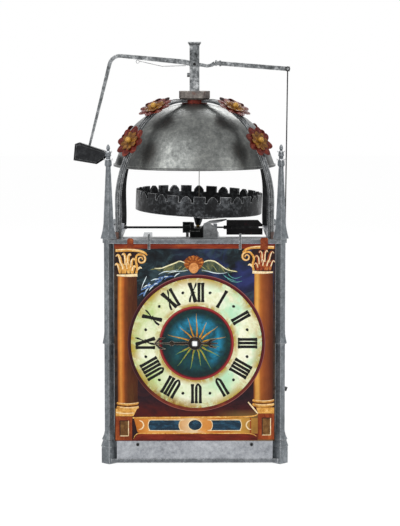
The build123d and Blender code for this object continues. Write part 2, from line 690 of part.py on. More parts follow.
def make_bars():
    """Crossbars, strike rails and the four vertical pivot bars."""
    y0, y1 = crossbar_y, crossbar_y + crossbar_width
    bars = [box(-rail_inner_x - lap, rail_inner_x + lap, y0, y1, z, z + rail_thickness)
            for z, lap in ((base_clearance, 0), (bearer_low, bearer_lap))]
    parts["movement_crossbars"] = Compound(bars)
    rails = []
    for x in (left_bar_x, right_bar_x):
        middle = x + bar_thickness / 2
        x0, x1 = middle - strike_rail_width / 2, middle + strike_rail_width / 2
        rails.append(box(x0, x1, y1, rail_inner_y, base_clearance, base_top))
        rails.append(box(x0, x1, y0, rail_inner_y + bearer_lap, back_rail_top, bearer_low))
    parts["strike_rails"] = Compound(rails)
    front = pivot_bar(0, going_heights + (dial_centre_height,), rail_bottom)
    parts["going_front_bar"] = front_plate(front, front_bar_y, bar_thickness)
    rear = pivot_bar(0, going_heights, bearer_low)
    parts["going_rear_bar"] = front_plate(rear, rear_bar_y, bar_thickness)
    side = pivot_bar(strike_y, strike_heights()[:3], back_rail_top)
    stud_z = strike_great_height - count_distance
    stud = rod((left_bar_x - 12, strike_y, stud_z), (1, 0, 0), 12, arbor_radius)
    stud += rod((left_bar_x - 14, strike_y, stud_z), (1, 0, 0), 2, arbor_radius + 2)
    parts["strike_bar_left"] = side_plate(side, left_bar_x, bar_thickness) + stud
    stud_y = strike_y - bar_width / 2
    x, z = lever_pivot
    lever_stud = rod((x, -3.0, z), (0, 1, 0), stud_y + 3.5, lever_stud_radius)
    lever_stud += rod((x, -4.5, z), (0, 1, 0), 1.8, 1.8 * lever_stud_radius)
    parts["strike_bar_right"] = side_plate(side, right_bar_x, bar_thickness) + lever_stud


def make_strike_train():
    """Great wheel with lifting pins, hoop wheel, third wheel, fly and count wheel."""
    z1, z2, z3, z4 = strike_heights()
    x1, x2, x3 = strike_wheel_x
    half = wheel_thickness / 2
    inner0, inner1 = left_bar_right + running_gap, right_bar_x - running_gap
    gap = 180 / strike_teeth[1]
    modules = [gear_module(strike_teeth[2 * i], strike_teeth[2 * i + 1], strike_distances[i])
               for i in range(3)]
    outline = wheel_sketch(strike_teeth[0], modules[0], 90, great_arbor_radius)
    great = side_plate(Pos(strike_y, z1) * outline, x1 - half, wheel_thickness)
    pin_circle = strike_y - 2.0 - running_gap - pin_radius
    for i in range(pin_count):
        angle = radians(360 * (i + 0.5) / pin_count)
        y, z = strike_y + pin_circle * cos(angle), z1 + pin_circle * sin(angle)
        great += rod((x1, y, z), (1, 0, 0), half + pin_length, pin_radius)
    arbor = arbor_x(strike_y, z1, left_bar_x - 12, right_bar_right + pivot_end, inner0,
                    inner1, great_arbor_radius)
    count_module = gear_module(count_teeth[1], count_teeth[0], count_distance)
    leaves = tooth_outline(count_teeth[0], count_module, -90 + 180 / count_teeth[0])
    arbor += side_plate(Pos(strike_y, z1) * leaves, left_bar_x - 11, 10)
    parts["strike_great_wheel"] = Compound([great, arbor])
    rope_x = right_bar_x - 6 - pulley_width / 2
    parts["strike_rope_pulley"] = Pos(rope_x, strike_y, z1) * pulley((1, 0, 0))
    stages = (("hoop_wheel", z2, x1, x2, 0), ("third_wheel", z3, x2, x3, 1))
    for name, z, pinion_x, wheel_x, stage in stages:
        leaves = tooth_outline(strike_teeth[2 * stage + 1], modules[stage], -90 + gap)
        pinion = side_plate(Pos(strike_y, z) * leaves, pinion_x - pinion_length / 2,
                            pinion_length)
        shaft = arbor_x(strike_y, z, left_bar_x, right_bar_right, inner0, inner1, arbor_radius)
        outline = wheel_sketch(strike_teeth[2 * stage + 2], modules[stage + 1], 90,
                               arbor_radius, hub=7.0)
        wheel = side_plate(Pos(strike_y, z) * outline, wheel_x - half, wheel_thickness)
        if name == "hoop_wheel":
            wheel += hoop(z, wheel_x + half)
        parts["strike_" + name] = Compound([wheel, shaft + pinion])
    make_fly(z4, x3, modules[2])
    make_count_wheel(strike_great_height - count_distance, count_module)


def hoop(z, x):
    """The interrupted hoop on which the strike is locked."""
    band = Circle(hoop_radius) - Circle(hoop_radius - hoop_wall)
    band -= Pos(hoop_radius, 0) * Rectangle(4 * hoop_wall, 7)
    return side_plate(Pos(strike_y, z) * band, x, hoop_depth)


def make_fly(z, pinion_x, module):
    """Fly arbor above the frame with its vane at the right, in two cocks."""
    leaves = tooth_outline(strike_teeth[5], module, -90 + 180 / strike_teeth[5])
    pinion = side_plate(Pos(strike_y, z) * leaves, pinion_x - pinion_length / 2, pinion_length)
    vane_x0, vane_x1 = right_bar_x + fly_start, rail_inner_x - fly_end_gap
    left_pivot = fly_left_x - 7
    shaft = rod((left_pivot, strike_y, z), (1, 0, 0), vane_x1 - 4 - left_pivot,
                fly_wire_radius)
    shaft += rod((fly_left_x, strike_y, z), (1, 0, 0), right_bar_x - fly_left_x - 0.5, 1.2)
    shaft += rod((fly_left_x, strike_y, z), (1, 0, 0), 2.0, 1.9)
    parts["fly_arbor"] = shaft + pinion
    h = fly_half_height
    outline = flat([(vane_x0, -h), (vane_x1, -h), (vane_x1, h - fly_corner),
                    (vane_x1 - fly_corner, h), (vane_x0, h)])
    vane = front_plate(Pos(0, z) * outline, strike_y - 0.5, 1.0)
    vane += rod((vane_x0 - 3, strike_y, z), (1, 0, 0), 8, 2.0)
    vane -= rod((vane_x0 - 4, strike_y, z), (1, 0, 0), vane_x1, fly_wire_radius)
    parts["fly_vane"] = vane
    cocks = []
    for x0, seat in ((fly_left_x - 5.0, frame_height), (right_bar_x, bearer_low)):
        cock = box(x0, x0 + bar_thickness, strike_y - fly_cock_half, strike_y + fly_cock_half,
                   seat, z + fly_cock_half - 1)
        cocks.append(cock - rod((x0 - 1, strike_y, z), (1, 0, 0), bar_thickness + 2,
                                fly_wire_radius + pivot_clearance))
    parts["fly_cocks"] = Compound(cocks)


def make_count_wheel(z, module):
    """Count wheel: the rim's notches are one, two, up to twelve blows apart."""
    outline = wheel_sketch(count_teeth[1], module, 90, arbor_radius + pivot_clearance,
                           hub=8.0, rim=5.0)
    x0 = left_bar_x - 7.5
    wheel = side_plate(Pos(strike_y, z) * outline, x0, 2.6)
    outside = module * count_teeth[1] / 2 - 2.6
    band = Circle(outside) - Circle(outside - count_band)
    blows = 0
    for hour in range(1, 13):
        blows += hour
        turn = 360 * blows / count_teeth[1]
        band -= Rot(0, 0, turn) * Pos(outside - 1.4, 0) * Rectangle(6, 1.8)
    wheel += side_plate(Pos(strike_y, z) * band, x0 - 3.0, 3.2)
    parts["count_wheel"] = wheel


def bell_points():
    return [(bell_radius * r, bell_rim_height + bell_height * z) for r, z in bell_shape]


def make_bell():
    """Hemispherical iron bell, its washer, and the bolt and nut that hold it."""
    outer = bell_points()
    inner = offset_points(outer, bell_wall)
    top = (0, bell_top_height)
    inner_top = (0, bell_top_height - bell_wall)
    edges = [Spline(*outer), Line(outer[-1], top), Line(top, inner_top),
             Line(inner_top, inner[-1]), Spline(*inner), Line(inner[0], outer[0])]
    bell = revolve(Plane.XZ * make_face(edges), Axis.Z)
    out, inside, tall = bell_lip
    lip = Cylinder(bell_radius + out, tall) - Cylinder(bell_radius - inside, 2 * tall)
    bell += Pos(0, 0, bell_rim_height + tall / 2) * lip
    bell -= Pos(0, 0, bell_top_height) * Cylinder(bolt_radius, 4 * bell_wall)
    parts["bell"] = bell
    up = (Align.CENTER, Align.CENTER, Align.MIN)
    washer = Cylinder(washer_radius, washer_thickness, align=up)
    washer -= Cylinder(bolt_radius, 3 * washer_thickness)
    parts["bell_washer"] = Pos(0, 0, bell_top_height) * washer
    bolt = rod((0, 0, bolt_low), (0, 0, 1), crown_top - bolt_low, bolt_radius)
    nut_half, nut_tall = bolt_nut
    bolt += Pos(0, 0, bolt_low) * extrude(RegularPolygon(nut_half, 6), nut_tall)
    hook_x = verge_x + hook_offset
    bolt += rod((hook_x, 0, hook_height), (0, 0, 1), hook_drop + 0.5, 0.9)
    parts["bell_bolt"] = bolt


def make_crown():
    """Crown block, and the forked post with its flared cap."""
    block = Rectangle(crown_width, crown_width)
    block = chamfer(block.vertices(), crown_corner)
    block = Pos(0, 0, washer_top) * extrude(block, crown_thickness)
    block = chamfer(block.faces().sort_by(Axis.Z)[0].edges(), 1.6)
    block -= rod((0, 0, washer_top - 1), (0, 0, 1), crown_thickness + 2, bolt_radius)
    parts["crown_block"] = block
    half = post_width / 2
    top = crown_top + post_height
    post = box(-half, half, -half, half, crown_top, top)
    sections = ((top, post_width), (top + 1.6, post_width + 1.0),
                (top + 3.2, post_cap_width), (top + post_cap_height, post_cap_width))
    post += loft([Pos(0, 0, z) * Rectangle(w, w) for z, w in sections], ruled=True)
    post = chamfer(post.edges().filter_by(Axis.Z).group_by(Axis.Z)[0], 1.0)
    slot = hammer_arm_thickness / 2 + hammer_side_gap
    post -= box(-post_width, post_width, -slot, slot, hammer_pivot_height - post_fork_depth,
                hammer_pivot_height + 0.9 * post_fork_depth)
    post -= rod((0, -post_width, hammer_pivot_height), (0, 1, 0), 2 * post_width,
                hammer_pin_radius)
    knob_z = crown_top + 0.36 * post_height
    post += rod((-half - 2.6, 0, knob_z), (1, 0, 0), 4, 2.2)
    parts["hammer_post"] = post
    pin = rod((0, -half - 0.8, hammer_pivot_height), (0, 1, 0), 2 * half + 1.6,
              hammer_pin_radius)
    pin += rod((0, -half - 1.6, hammer_pivot_height), (0, 1, 0), 1.6, hammer_pin_head)
    parts["hammer_pin"] = pin


def bend_points(a, corner, b, radius, steps):
    """Points round a bend: the start and end of its arc, and the steps between."""
    corner = Vector(*corner)
    to_a, to_b = (Vector(*a) - corner).normalized(), (Vector(*b) - corner).normalized()
    half = radians(to_a.get_angle(to_b)) / 2
    centre = corner + (to_a + to_b).normalized() * (radius / sin(half))
    start = corner + to_a * (radius / tan(half)) - centre
    sweep = pi - 2 * half
    sign = 1 if start.cross(to_b).Z > 0 else -1
    turned = [start.rotate(Axis.Z, degrees(sign * sweep * i / steps)) for i in range(steps + 1)]
    return [(centre.X + p.X, centre.Y + p.Y) for p in turned]


def on_shank(distance):
    """The point that lies a distance down the arm's line from the head's joint."""
    x, z = hammer_head_joint
    dx, dz = x - hammer_bend[0], z - hammer_bend[1]
    return (x + dx * distance / hypot(dx, dz), z + dz * distance / hypot(dx, dz))


def make_hammer():
    """Hammer lever through the post, with its head, its tail bar and its check spring."""
    y0 = -hammer_arm_thickness / 2
    pivot = (0, hammer_pivot_height)
    bend = bend_points(pivot, hammer_bend, hammer_head_joint, hammer_bend_radius,
                       hammer_bend_steps)
    points = [pivot, (-12, pivot[1] + 2.4)] + bend + [hammer_head_joint, on_shank(hammer_tang)]
    widths = [5.4, 5.4] + [3.9] * len(bend) + [2.4, 2.4]
    arm = tapered_bar(points, widths) + Pos(*pivot) * Circle(4.4)
    right = [pivot, (8, pivot[1] - 0.9), (13, pivot[1] - 1.9), (17.5, pivot[1] - 0.9),
             (21, tail_start[1])]
    arm += tapered_bar(right, [4.2, 3.6, 3.4, 3.6, 4.4])
    arm += tapered_bar([(21, tail_start[1]), tail_start], [4.4, 4.4])
    arm -= Pos(*pivot) * Circle(hammer_pin_radius + pivot_clearance)
    parts["hammer_arm"] = front_plate(arm, y0, hammer_arm_thickness)
    end = tail_end
    tail = tapered_bar([tail_start, end, (end[0] + 2.4, end[1] - 0.1)], [4.4, 4.6, 5.2])
    tail = front_plate(tail, y0 + 0.5, hammer_arm_thickness - 1)
    tail += rod((end[0], y0 + 1.0, end[1]), (0, -1, 0), 5.0, peg_radius)
    for x in collar_places:
        share = (x - tail_start[0]) / (end[0] - tail_start[0])
        z = tail_start[1] + share * (end[1] - tail_start[1])
        tail += box(x - 0.9, x + 0.9, y0 - 0.7, -y0 + 0.7, z - 3.0, z + 3.0)
    tail -= front_plate(arm, y0, hammer_arm_thickness)
    parts["hammer_tail_bar"] = tail
    make_hammer_head()
    make_hammer_spring()


def make_hammer_head():
    """Bullet-shaped head at the foot of the arm, its nose towards the bell."""
    x, z = hammer_head_joint
    half = hammer_head_width / 2
    outline = flat([(x + u, z + v) for u, v in hammer_head_shape])
    head = front_plate(outline, -half, hammer_head_width)
    head = chamfer(head.edges().filter_by(Axis.Y, reverse=True), 2.0)
    socket = tapered_bar([on_shank(hammer_tang + 0.5), on_shank(-hammer_tang)], [2.5, 2.7])
    head -= front_plate(socket, -hammer_arm_thickness / 2, hammer_arm_thickness)
    parts["hammer_head"] = head


def make_hammer_spring():
    """Thin check spring under the arm, with the small loop that ties it on."""
    z = hammer_pivot_height
    start, end = (-spring_share * hammer_bend_out, z + 3.1), (-9.0, z - 1.5)
    middle = ((start[0] + end[0]) / 2, z - 2.2)
    loop_outside, loop_inside = spring_loop
    wire = tapered_bar([start, middle, end], [spring_width] * 3)
    wire += Pos(start[0] - 1.5, start[1] - 0.5) * (Circle(loop_outside) - Circle(loop_inside))
    parts["hammer_spring"] = front_plate(wire, -spring_width / 2, spring_width)


def make_pull_wire():
    """Wire from the hammer's tail to the lifting lever, with a flat eye at each end."""
    top, low = tail_end, lever_end
    eyes = [(Vector(*top), peg_radius + running_gap), (Vector(*low), peg_radius + 2 * running_gap)]
    wire_width = 2 * wire_radius
    outline = tapered_bar([top, low], [wire_width, wire_width])
    for place, bore in eyes:
        outline += Pos(place.X, place.Y) * Circle(bore + 1.2)
    for place, bore in eyes:
        outline -= Pos(place.X, place.Y) * Circle(bore)
    parts["pull_wire"] = front_plate(outline, wire_y - wire_radius, wire_width)


def make_lift_lever():
    """Lever that a lifting pin raises at the left and that pulls the wire down."""
    pivot, end = lever_pivot, lever_end
    outline = tapered_bar([pivot, end, (end[0] + 4.5, end[1] - 1.5)], [6.0, 4.0, 4.4])
    tail_x = strike_wheel_x[0] + wheel_thickness / 2 + 3.5
    tip = (tail_x, strike_great_height - 6)
    outline += tapered_bar([pivot, (tail_x + 16, pivot[1] + 12), tip], [6.0, 4.2, 3.0])
    outline += Pos(*pivot) * Circle(5.0)
    lever = front_plate(outline, -2.0, 4.0)
    lever += rod((pivot[0], -2.0, pivot[1]), (0, 1, 0), 3 * lever_boss, lever_boss)
    lever += rod((end[0], -1.0, end[1]), (0, -1, 0), 4.4, peg_radius)
    lever -= rod((pivot[0], -10, pivot[1]), (0, 1, 0), 30, lever_stud_radius + pivot_clearance)
    parts["lift_lever"] = lever


def strap_points():
    """Inner line of a strap, from its foot to its end under the crown block."""
    rise = washer_top - strap_top_gap - strap_thickness - strap_ridge - frame_height
    inner = washer_radius + strap_end_gap
    span = strap_foot_radius - inner
    return [(inner + span * r, frame_height + rise * z) for r, z in strap_shape]


def make_straps():
    """Four ridged straps from the frame's corners to the crown, and their foot wedges."""
    points = strap_points()
    web = band_face(points, -strap_thickness)
    ridge = band_face(points, -strap_thickness - strap_ridge)
    wedges = []
    foot = strap_foot_radius + strap_thickness + strap_ridge + wedge_gap
    back = hypot(pillar_x, pillar_y) - drip_half / sqrt(2) - 0.2
    for name, (sx, sy) in corners.items():
        azimuth = degrees(atan2(sy * pillar_y, sx * pillar_x))
        strap = radial_solid(web, strap_width, azimuth)
        strap += radial_solid(ridge, strap_ridge_width, azimuth)
        parts["strap_" + name] = strap
        wedge = box(foot, back, -strap_width / 2, strap_width / 2, frame_height,
                    frame_height + strap_width)
        wedges.append(Rot(0, 0, azimuth) * wedge)
    parts["strap_foot_wedges"] = Compound(wedges)


def flower(radius, petals, phase, cup, thickness):
    """A cupped tier of petals, its back on the origin, facing +Z."""
    outline = Circle(0.55 * radius)
    for i in range(petals):
        turn = phase + 360 * i / petals
        outline += Rot(0, 0, turn) * Pos(0.6 * radius, 0) * Circle(0.4 * radius)
    outline -= Circle(stem_radius)
    section = flat([(0, 0), (0.4 * radius, 0), (1.1 * radius, cup),
                    (1.1 * radius, cup + thickness), (0.4 * radius, thickness), (0, thickness)])
    dish = revolve(Plane.XZ * section, Axis.Z)
    return extrude(outline, cup + 4) & dish


def make_rosettes():
    """Two rosettes on each strap: two tiers of petals on a round-headed stem."""
    rise = rosette_rise
    tier = petal_thickness + petal_gap
    outer = Pos(0, 0, rise) * flower(rosette_radius, rosette_petals, 0, 3.0, petal_thickness)
    inner = flower(0.68 * rosette_radius, rosette_petals, 180 / rosette_petals, 2.6,
                   petal_thickness)
    inner = Pos(0, 0, rise + tier) * inner
    seat = rise + tier + petal_thickness
    stem = rod((0, 0, 0), (0, 0, 1), seat + 1, stem_radius)
    head = Pos(0, 0, seat + 1.6) * Sphere(rivet_radius)
    stem += head & box(-4, 4, -4, 4, seat, seat + 2 * rivet_radius)
    stem += rod((0, 0, 0), (0, 0, 1), rise, 4.4, 3.4)
    far = Spline(*offset_points(strap_points(), -strap_thickness - strap_ridge))
    tiers = {"rosette_outer_leaves": [], "rosette_inner_leaves": [], "rosette_rivets": []}
    for sx, sy in corners.values():
        azimuth = degrees(atan2(sy * pillar_y, sx * pillar_x))
        for station in rosette_stations:
            place, along = far @ station, far % station
            out = Vector(along.Y, 0, -along.X)
            plane = Plane(origin=(place.X, 0, place.Y), x_dir=(0, 1, 0), z_dir=out)
            for tier, solid in zip(tiers.values(), (outer, inner, stem)):
                tier.append(Rot(0, 0, azimuth) * (plane * solid))
    parts.update({name: Compound(solids) for name, solids in tiers.items()})


makers = (make_pillars, make_rails, make_dial, make_hand, make_motion_work, make_going_train,
          make_escape_wheel, make_verge, make_balance, make_verge_supports, make_bars,
          make_strike_train, make_bell, make_crown, make_hammer, make_pull_wire,
          make_lift_lever, make_straps, make_rosettes)
for maker in makers:
    maker()
os.makedirs("parts", exist_ok=True)
for name, shape in parts.items():
    export_step(shape, "parts/" + name + ".step")
print(len(parts), "nodes")
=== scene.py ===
"""The looks of a gothic iron clock: materials, painted dial, rosettes, finials, lights, camera."""
import math
import random

import bmesh
import bpy
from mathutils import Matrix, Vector


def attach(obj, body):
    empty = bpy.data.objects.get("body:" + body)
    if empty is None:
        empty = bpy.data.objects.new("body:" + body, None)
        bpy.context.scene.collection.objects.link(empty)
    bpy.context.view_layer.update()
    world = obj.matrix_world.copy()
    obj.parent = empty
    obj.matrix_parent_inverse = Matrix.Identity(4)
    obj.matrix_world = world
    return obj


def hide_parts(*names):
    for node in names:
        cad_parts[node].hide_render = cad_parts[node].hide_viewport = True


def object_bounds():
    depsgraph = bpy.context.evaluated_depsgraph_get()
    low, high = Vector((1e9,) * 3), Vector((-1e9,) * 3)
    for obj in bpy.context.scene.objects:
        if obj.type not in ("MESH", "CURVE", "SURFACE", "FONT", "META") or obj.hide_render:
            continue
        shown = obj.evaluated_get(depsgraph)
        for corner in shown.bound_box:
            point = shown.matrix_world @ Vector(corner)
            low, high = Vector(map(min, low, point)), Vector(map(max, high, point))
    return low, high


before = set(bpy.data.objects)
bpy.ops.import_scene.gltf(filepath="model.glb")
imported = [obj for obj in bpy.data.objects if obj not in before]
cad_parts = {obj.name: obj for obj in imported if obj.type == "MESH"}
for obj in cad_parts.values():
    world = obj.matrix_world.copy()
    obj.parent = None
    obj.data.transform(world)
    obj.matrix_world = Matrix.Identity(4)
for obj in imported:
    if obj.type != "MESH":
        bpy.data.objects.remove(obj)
cad_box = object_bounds()

MM = 0.001
METRE = 1000.0             # in mm
DIAL_FACE = -92.0          # y of the dial's painted face, in mm
DIAL_X, DIAL_Z = 1.7, 122.9    # middle of the painted rings
SMALLEST_HOLE = 3.0        # a ring's hole of a smaller radius is filled
PINNACLE_X, PINNACLE_Y = 86.0, -86.0
LAMP_AIM = (0, 0, 0.2)     # in metres, like the lamps' and the camera's places
draws = random.Random(7)


def rgb(code):
    """A colour written as six hex digits, as Blender's linear values."""
    parts = [int(code[i:i + 2], 16) / 255 for i in (0, 2, 4)]
    linear = [c / 12.92 if c <= 0.04045 else ((c + 0.055) / 1.055) ** 2.4 for c in parts]
    return (*linear, 1.0)


# Shaders


class Shader:
    """One material and short ways to join its nodes."""

    def __init__(self, name):
        self.mat = bpy.data.materials.new(name)
        self.mat.use_nodes = True
        self.tree = self.mat.node_tree
        self.bsdf = self.tree.nodes["Principled BSDF"]
        self.place = self.tree.nodes.new("ShaderNodeTexCoord").outputs["Object"]

    def node(self, kind, settings=(), **sockets):
        made = self.tree.nodes.new(kind)
        for key, value in dict(settings).items():
            setattr(made, key, value)
        for key, value in sockets.items():
            self.put(made.inputs[key.replace("_", " ")], value)
        return made

    def put(self, socket, value):
        if isinstance(value, bpy.types.NodeSocket):
            self.tree.links.new(value, socket)
        else:
            socket.default_value = value

    def set(self, name, value):
        self.put(self.bsdf.inputs[name], value)

    def noise(self, scale, detail=4.0, rough=0.55, twist=0.0, place=None):
        made = self.node("ShaderNodeTexNoise", Vector=place or self.place, Scale=scale,
                         Detail=detail, Roughness=rough, Distortion=twist)
        return made.outputs["Fac"]

    def cells(self, scale, feature="F1", smooth=None):
        made = self.node("ShaderNodeTexVoronoi", {"feature": feature}, Vector=self.place,
                         Scale=scale)
        if smooth is not None:
            made.inputs["Smoothness"].default_value = smooth
        return made.outputs["Distance"]

    def stretched(self, x, y, z):
        made = self.node("ShaderNodeMapping", Vector=self.place)
        made.inputs["Scale"].default_value = (x, y, z)
        return made.outputs["Vector"]

    def ramp(self, value, *stops):
        made = self.node("ShaderNodeValToRGB")
        self.put(made.inputs["Fac"], value)
        points = made.color_ramp.elements
        while len(points) < len(stops):
            points.new(0.5)
        for point, (position, colour) in zip(points, stops):
            point.position = position
            point.color = rgb(colour) if isinstance(colour, str) else (*([colour] * 3), 1.0)
        return made.outputs["Color"]

    def math(self, kind, a, b=0.0, c=None):
        made = self.node("ShaderNodeMath", {"operation": kind})
        self.put(made.inputs[0], a)
        self.put(made.inputs[1], b)
        if c is not None:
            self.put(made.inputs[2], c)
        return made.outputs[0]

    def times(self, a, b):
        return self.math("MULTIPLY", a, b)

    def times_plus(self, a, b, c):
        return self.math("MULTIPLY_ADD", a, b, c)

    def blots(self, noise, low, high, least=0.0):
        """Soft patches: 1 where the noise is above high, least where it is below low."""
        return self.ramp(self.noise(*noise), (low, least), (high, 1.0))

    def remap(self, value, low, high, to_low=0.0, to_high=1.0):
        made = self.node("ShaderNodeMapRange", Value=value, From_Min=low, From_Max=high,
                         To_Min=to_low, To_Max=to_high)
        return made.outputs["Result"]

    def mix(self, share, a, b):
        made = self.node("ShaderNodeMix", {"data_type": "RGBA"})
        for socket, value in ((made.inputs[0], share), (made.inputs[6], a), (made.inputs[7], b)):
            if isinstance(value, str):
                value = rgb(value)
            self.put(socket, value)
        return made.outputs[2]

    def axis(self, name):
        """One coordinate in mm."""
        split = self.node("ShaderNodeSeparateXYZ", Vector=self.place)
        return self.times(split.outputs[name], METRE)

    def dial_radius(self):
        """Distance from the middle of the painted rings, in mm."""
        shift = self.node("ShaderNodeVectorMath", {"operation": "SUBTRACT"})
        self.put(shift.inputs[0], self.place)
        shift.inputs[1].default_value = (DIAL_X * MM, 0, DIAL_Z * MM)
        flat = self.node("ShaderNodeVectorMath", {"operation": "MULTIPLY"})
        self.put(flat.inputs[0], shift.outputs[0])
        flat.inputs[1].default_value = (METRE, 0, METRE)
        size = self.node("ShaderNodeVectorMath", {"operation": "LENGTH"})
        self.put(size.inputs[0], flat.outputs[0])
        return size.outputs["Value"]

    def facing(self, axis):
        """The outward normal's part along one axis."""
        geometry = self.node("ShaderNodeNewGeometry")
        split = self.node("ShaderNodeSeparateXYZ", Vector=geometry.outputs["True Normal"])
        return split.outputs[axis]

    def edges(self, radius_mm):
        """0 on flats, rising towards 1 on edges."""
        bevel = self.node("ShaderNodeBevel", {"samples": 4}, Radius=radius_mm * MM)
        geometry = self.node("ShaderNodeNewGeometry")
        dot = self.node("ShaderNodeVectorMath", {"operation": "DOT_PRODUCT"})
        self.put(dot.inputs[0], bevel.outputs["Normal"])
        self.put(dot.inputs[1], geometry.outputs["Normal"])
        return self.remap(dot.outputs["Value"], 1.0, 0.75)

    def bump(self, height, depth_mm, strength=1.0, under=None):
        made = self.node("ShaderNodeBump", Height=height, Strength=strength, Distance=depth_mm * MM)
        if under is not None:
            self.put(made.inputs["Normal"], under)
        return made.outputs["Normal"]


def iron(name, dark, mid, pale, rough=0.5, metallic=0.8, wear=0.5, worn="d8d8d6", rust=0.0,
         rust_colour="6b4030", dents=0.5, grain=0.35, blotch=0.0, shade=None):
    """Forged iron: three tones in patches, hammer marks, pits, bright worn edges, rust."""
    s = Shader(name)
    patches = s.noise(42, 4, 0.6, 0.4)
    mottle = s.noise(260, 5, 0.68)
    speck = s.noise(1500, 3, 0.6)
    tone = s.times_plus(patches, 0.45, s.times(mottle, 0.55))
    tone = s.times_plus(speck, 0.18, s.math("SUBTRACT", tone, 0.09))
    colour = s.ramp(tone, (0.34, dark), (0.5, mid), (0.66, pale))
    if blotch:
        spots = s.ramp(s.cells(420), (0.12, 1.0), (0.34, 0.0))
        colour = s.mix(s.times(spots, blotch), colour, dark)
    if rust:
        patch = s.blots((75, 6, 0.72, 0.6), 0.62 - 0.3 * rust, 0.78 - 0.3 * rust)
        colour = s.mix(s.times(patch, 0.85), colour, rust_colour)
    if shade:
        colour = shade(s, colour)
    edge = s.times(s.edges(0.9), s.ramp(mottle, (0.35, 0.2), (0.6, 1.0)))
    colour = s.mix(s.times(edge, wear), colour, worn)
    s.set("Base Color", colour)
    s.set("Metallic", metallic)
    s.set("Roughness", s.remap(tone, 0.3, 0.7, rough + 0.14, rough - 0.12))
    hammered = s.cells(85, "SMOOTH_F1", smooth=0.6)
    normal = s.bump(hammered, 0.9, dents)
    normal = s.bump(mottle, 0.35, grain, normal)
    s.set("Normal", s.bump(speck, 0.08, grain, normal))
    return s.mat


def paint(name, dark, mid, pale, brush=(1, 1, 1), scale=120.0, rough=0.5, craze=0.25,
          shade=None, grime=0.35):
    """Old oil paint: brushed tones, fine cracks, grime. shade(s, colour) may add more."""
    s = Shader(name)
    stroke = s.noise(scale, 5, 0.62, 0.5, s.stretched(*brush))
    fine = s.noise(scale * 5, 4, 0.6, 0.2, s.stretched(*brush))
    tone = s.times_plus(stroke, 0.7, s.times(fine, 0.3))
    colour = s.ramp(tone, (0.33, dark), (0.5, mid), (0.68, pale))
    if shade:
        colour = shade(s, colour)
    dirt = s.blots((34, 5, 0.7, 0.3), 0.45, 0.75)
    colour = s.mix(s.times(dirt, grime), colour, "1b120c")
    cracks = s.ramp(s.cells(480, "DISTANCE_TO_EDGE"), (0.0, 0.0), (0.05, 1.0))
    s.set("Base Color", colour)
    s.set("Specular IOR Level", 0.16)
    s.set("Roughness", s.remap(tone, 0.3, 0.7, rough + 0.1, rough - 0.1))
    normal = s.bump(cracks, 0.05, craze)
    s.set("Normal", s.bump(fine, 0.12, 0.5, normal))
    return s.mat


def dressed(material, *names):
    """Gives CAD nodes a material on every slot."""
    for name in names:
        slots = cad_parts[name].data.materials
        for i in range(len(slots)):
            slots[i] = material


# Mesh helpers; the dial's drawings are in mm, x to the right and z up


def added(name, data):
    """A new object in the scene."""
    made = bpy.data.objects.new(name, data)
    bpy.context.scene.collection.objects.link(made)
    return made


def finished(name, shape, material, body="frame", sharp=40):
    """A mesh object from a bmesh, in metres, riding on a body."""
    bmesh.ops.remove_doubles(shape, verts=shape.verts, dist=1e-7)
    bmesh.ops.recalc_face_normals(shape, faces=shape.faces)
    mesh = bpy.data.meshes.new(name)
    shape.to_mesh(mesh)
    shape.free()
    mesh.polygons.foreach_set("use_smooth", [True] * len(mesh.polygons))
    mesh.set_sharp_from_angle(angle=math.radians(sharp))
    mesh.materials.append(material)
    made = added(name, mesh)
    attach(made, body)
    return made


def on_dial(x, z, lift):
    return Vector((x, DIAL_FACE - lift, z)) * MM


def sheet_of(shape, rows, capped=True):
    """Joins closed rows of points to a skin; capped fills its first and last row."""
    verts = [[shape.verts.new(p) for p in row] for row in rows]
    for low, high in zip(verts, verts[1:]):
        count = len(low)
        for i in range(count):
            j = (i + 1) % count
            shape.faces.new((low[i], low[j], high[j], high[i]))
    if capped:
        shape.faces.new(verts[0])
        shape.faces.new(verts[-1])
    return verts


def smooth_line(points, steps):
    """Points on a soft curve through the given ones, each a tuple of numbers."""
    if len(points) < 3:
        steps = 2
    ends = [points[0], *points, points[-1]]
    line = []
    for a, b, c, d in zip(ends, ends[1:], ends[2:], ends[3:]):
        for k in range(steps):
            t = k / steps
            line.append(tuple(0.5 * (2 * q + (r - p) * t + (2 * p - 5 * q + 4 * r - s) * t * t
                       + (3 * q - p - 3 * r + s) * t ** 3) for p, q, r, s in zip(a, b, c, d)))
    line.append(tuple(float(v) for v in points[-1]))
    return line


def stroke(shape, points, lift=0.3, base=0.0, steps=6, crown=0.6):
    """A brush stroke on the dial through (x, z, width) points, crowned across."""
    line = smooth_line(points, steps)
    rows = []
    for i, (x, z, width) in enumerate(line):
        before, after = line[max(i - 1, 0)], line[min(i + 1, len(line) - 1)]
        run = Vector((after[0] - before[0], after[1] - before[1]))
        run = run.normalized() if run.length > 1e-6 else Vector((1, 0))
        side = Vector((-run.y, run.x)) * max(width, 0.06) / 2
        across = ((1, -0.1), (0.92, crown * lift), (0.45, 0.92 * lift), (0, lift),
                  (-0.45, 0.92 * lift), (-0.92, crown * lift), (-1, -0.1))
        rows.append([on_dial(x + side.x * k, z + side.y * k, base + h) for k, h in across])
    sheet_of(shape, rows)


def patch(shape, outline, lift=0.1):
    """A flat painted area with the given (x, z) outline."""
    front = [shape.verts.new(on_dial(x, z, lift)) for x, z in outline]
    back = [shape.verts.new(on_dial(x, z, -0.1)) for x, z in outline]
    shape.faces.new(front)
    shape.faces.new(back)
    for i in range(len(outline)):
        j = (i + 1) % len(outline)
        shape.faces.new((front[i], front[j], back[j], back[i]))


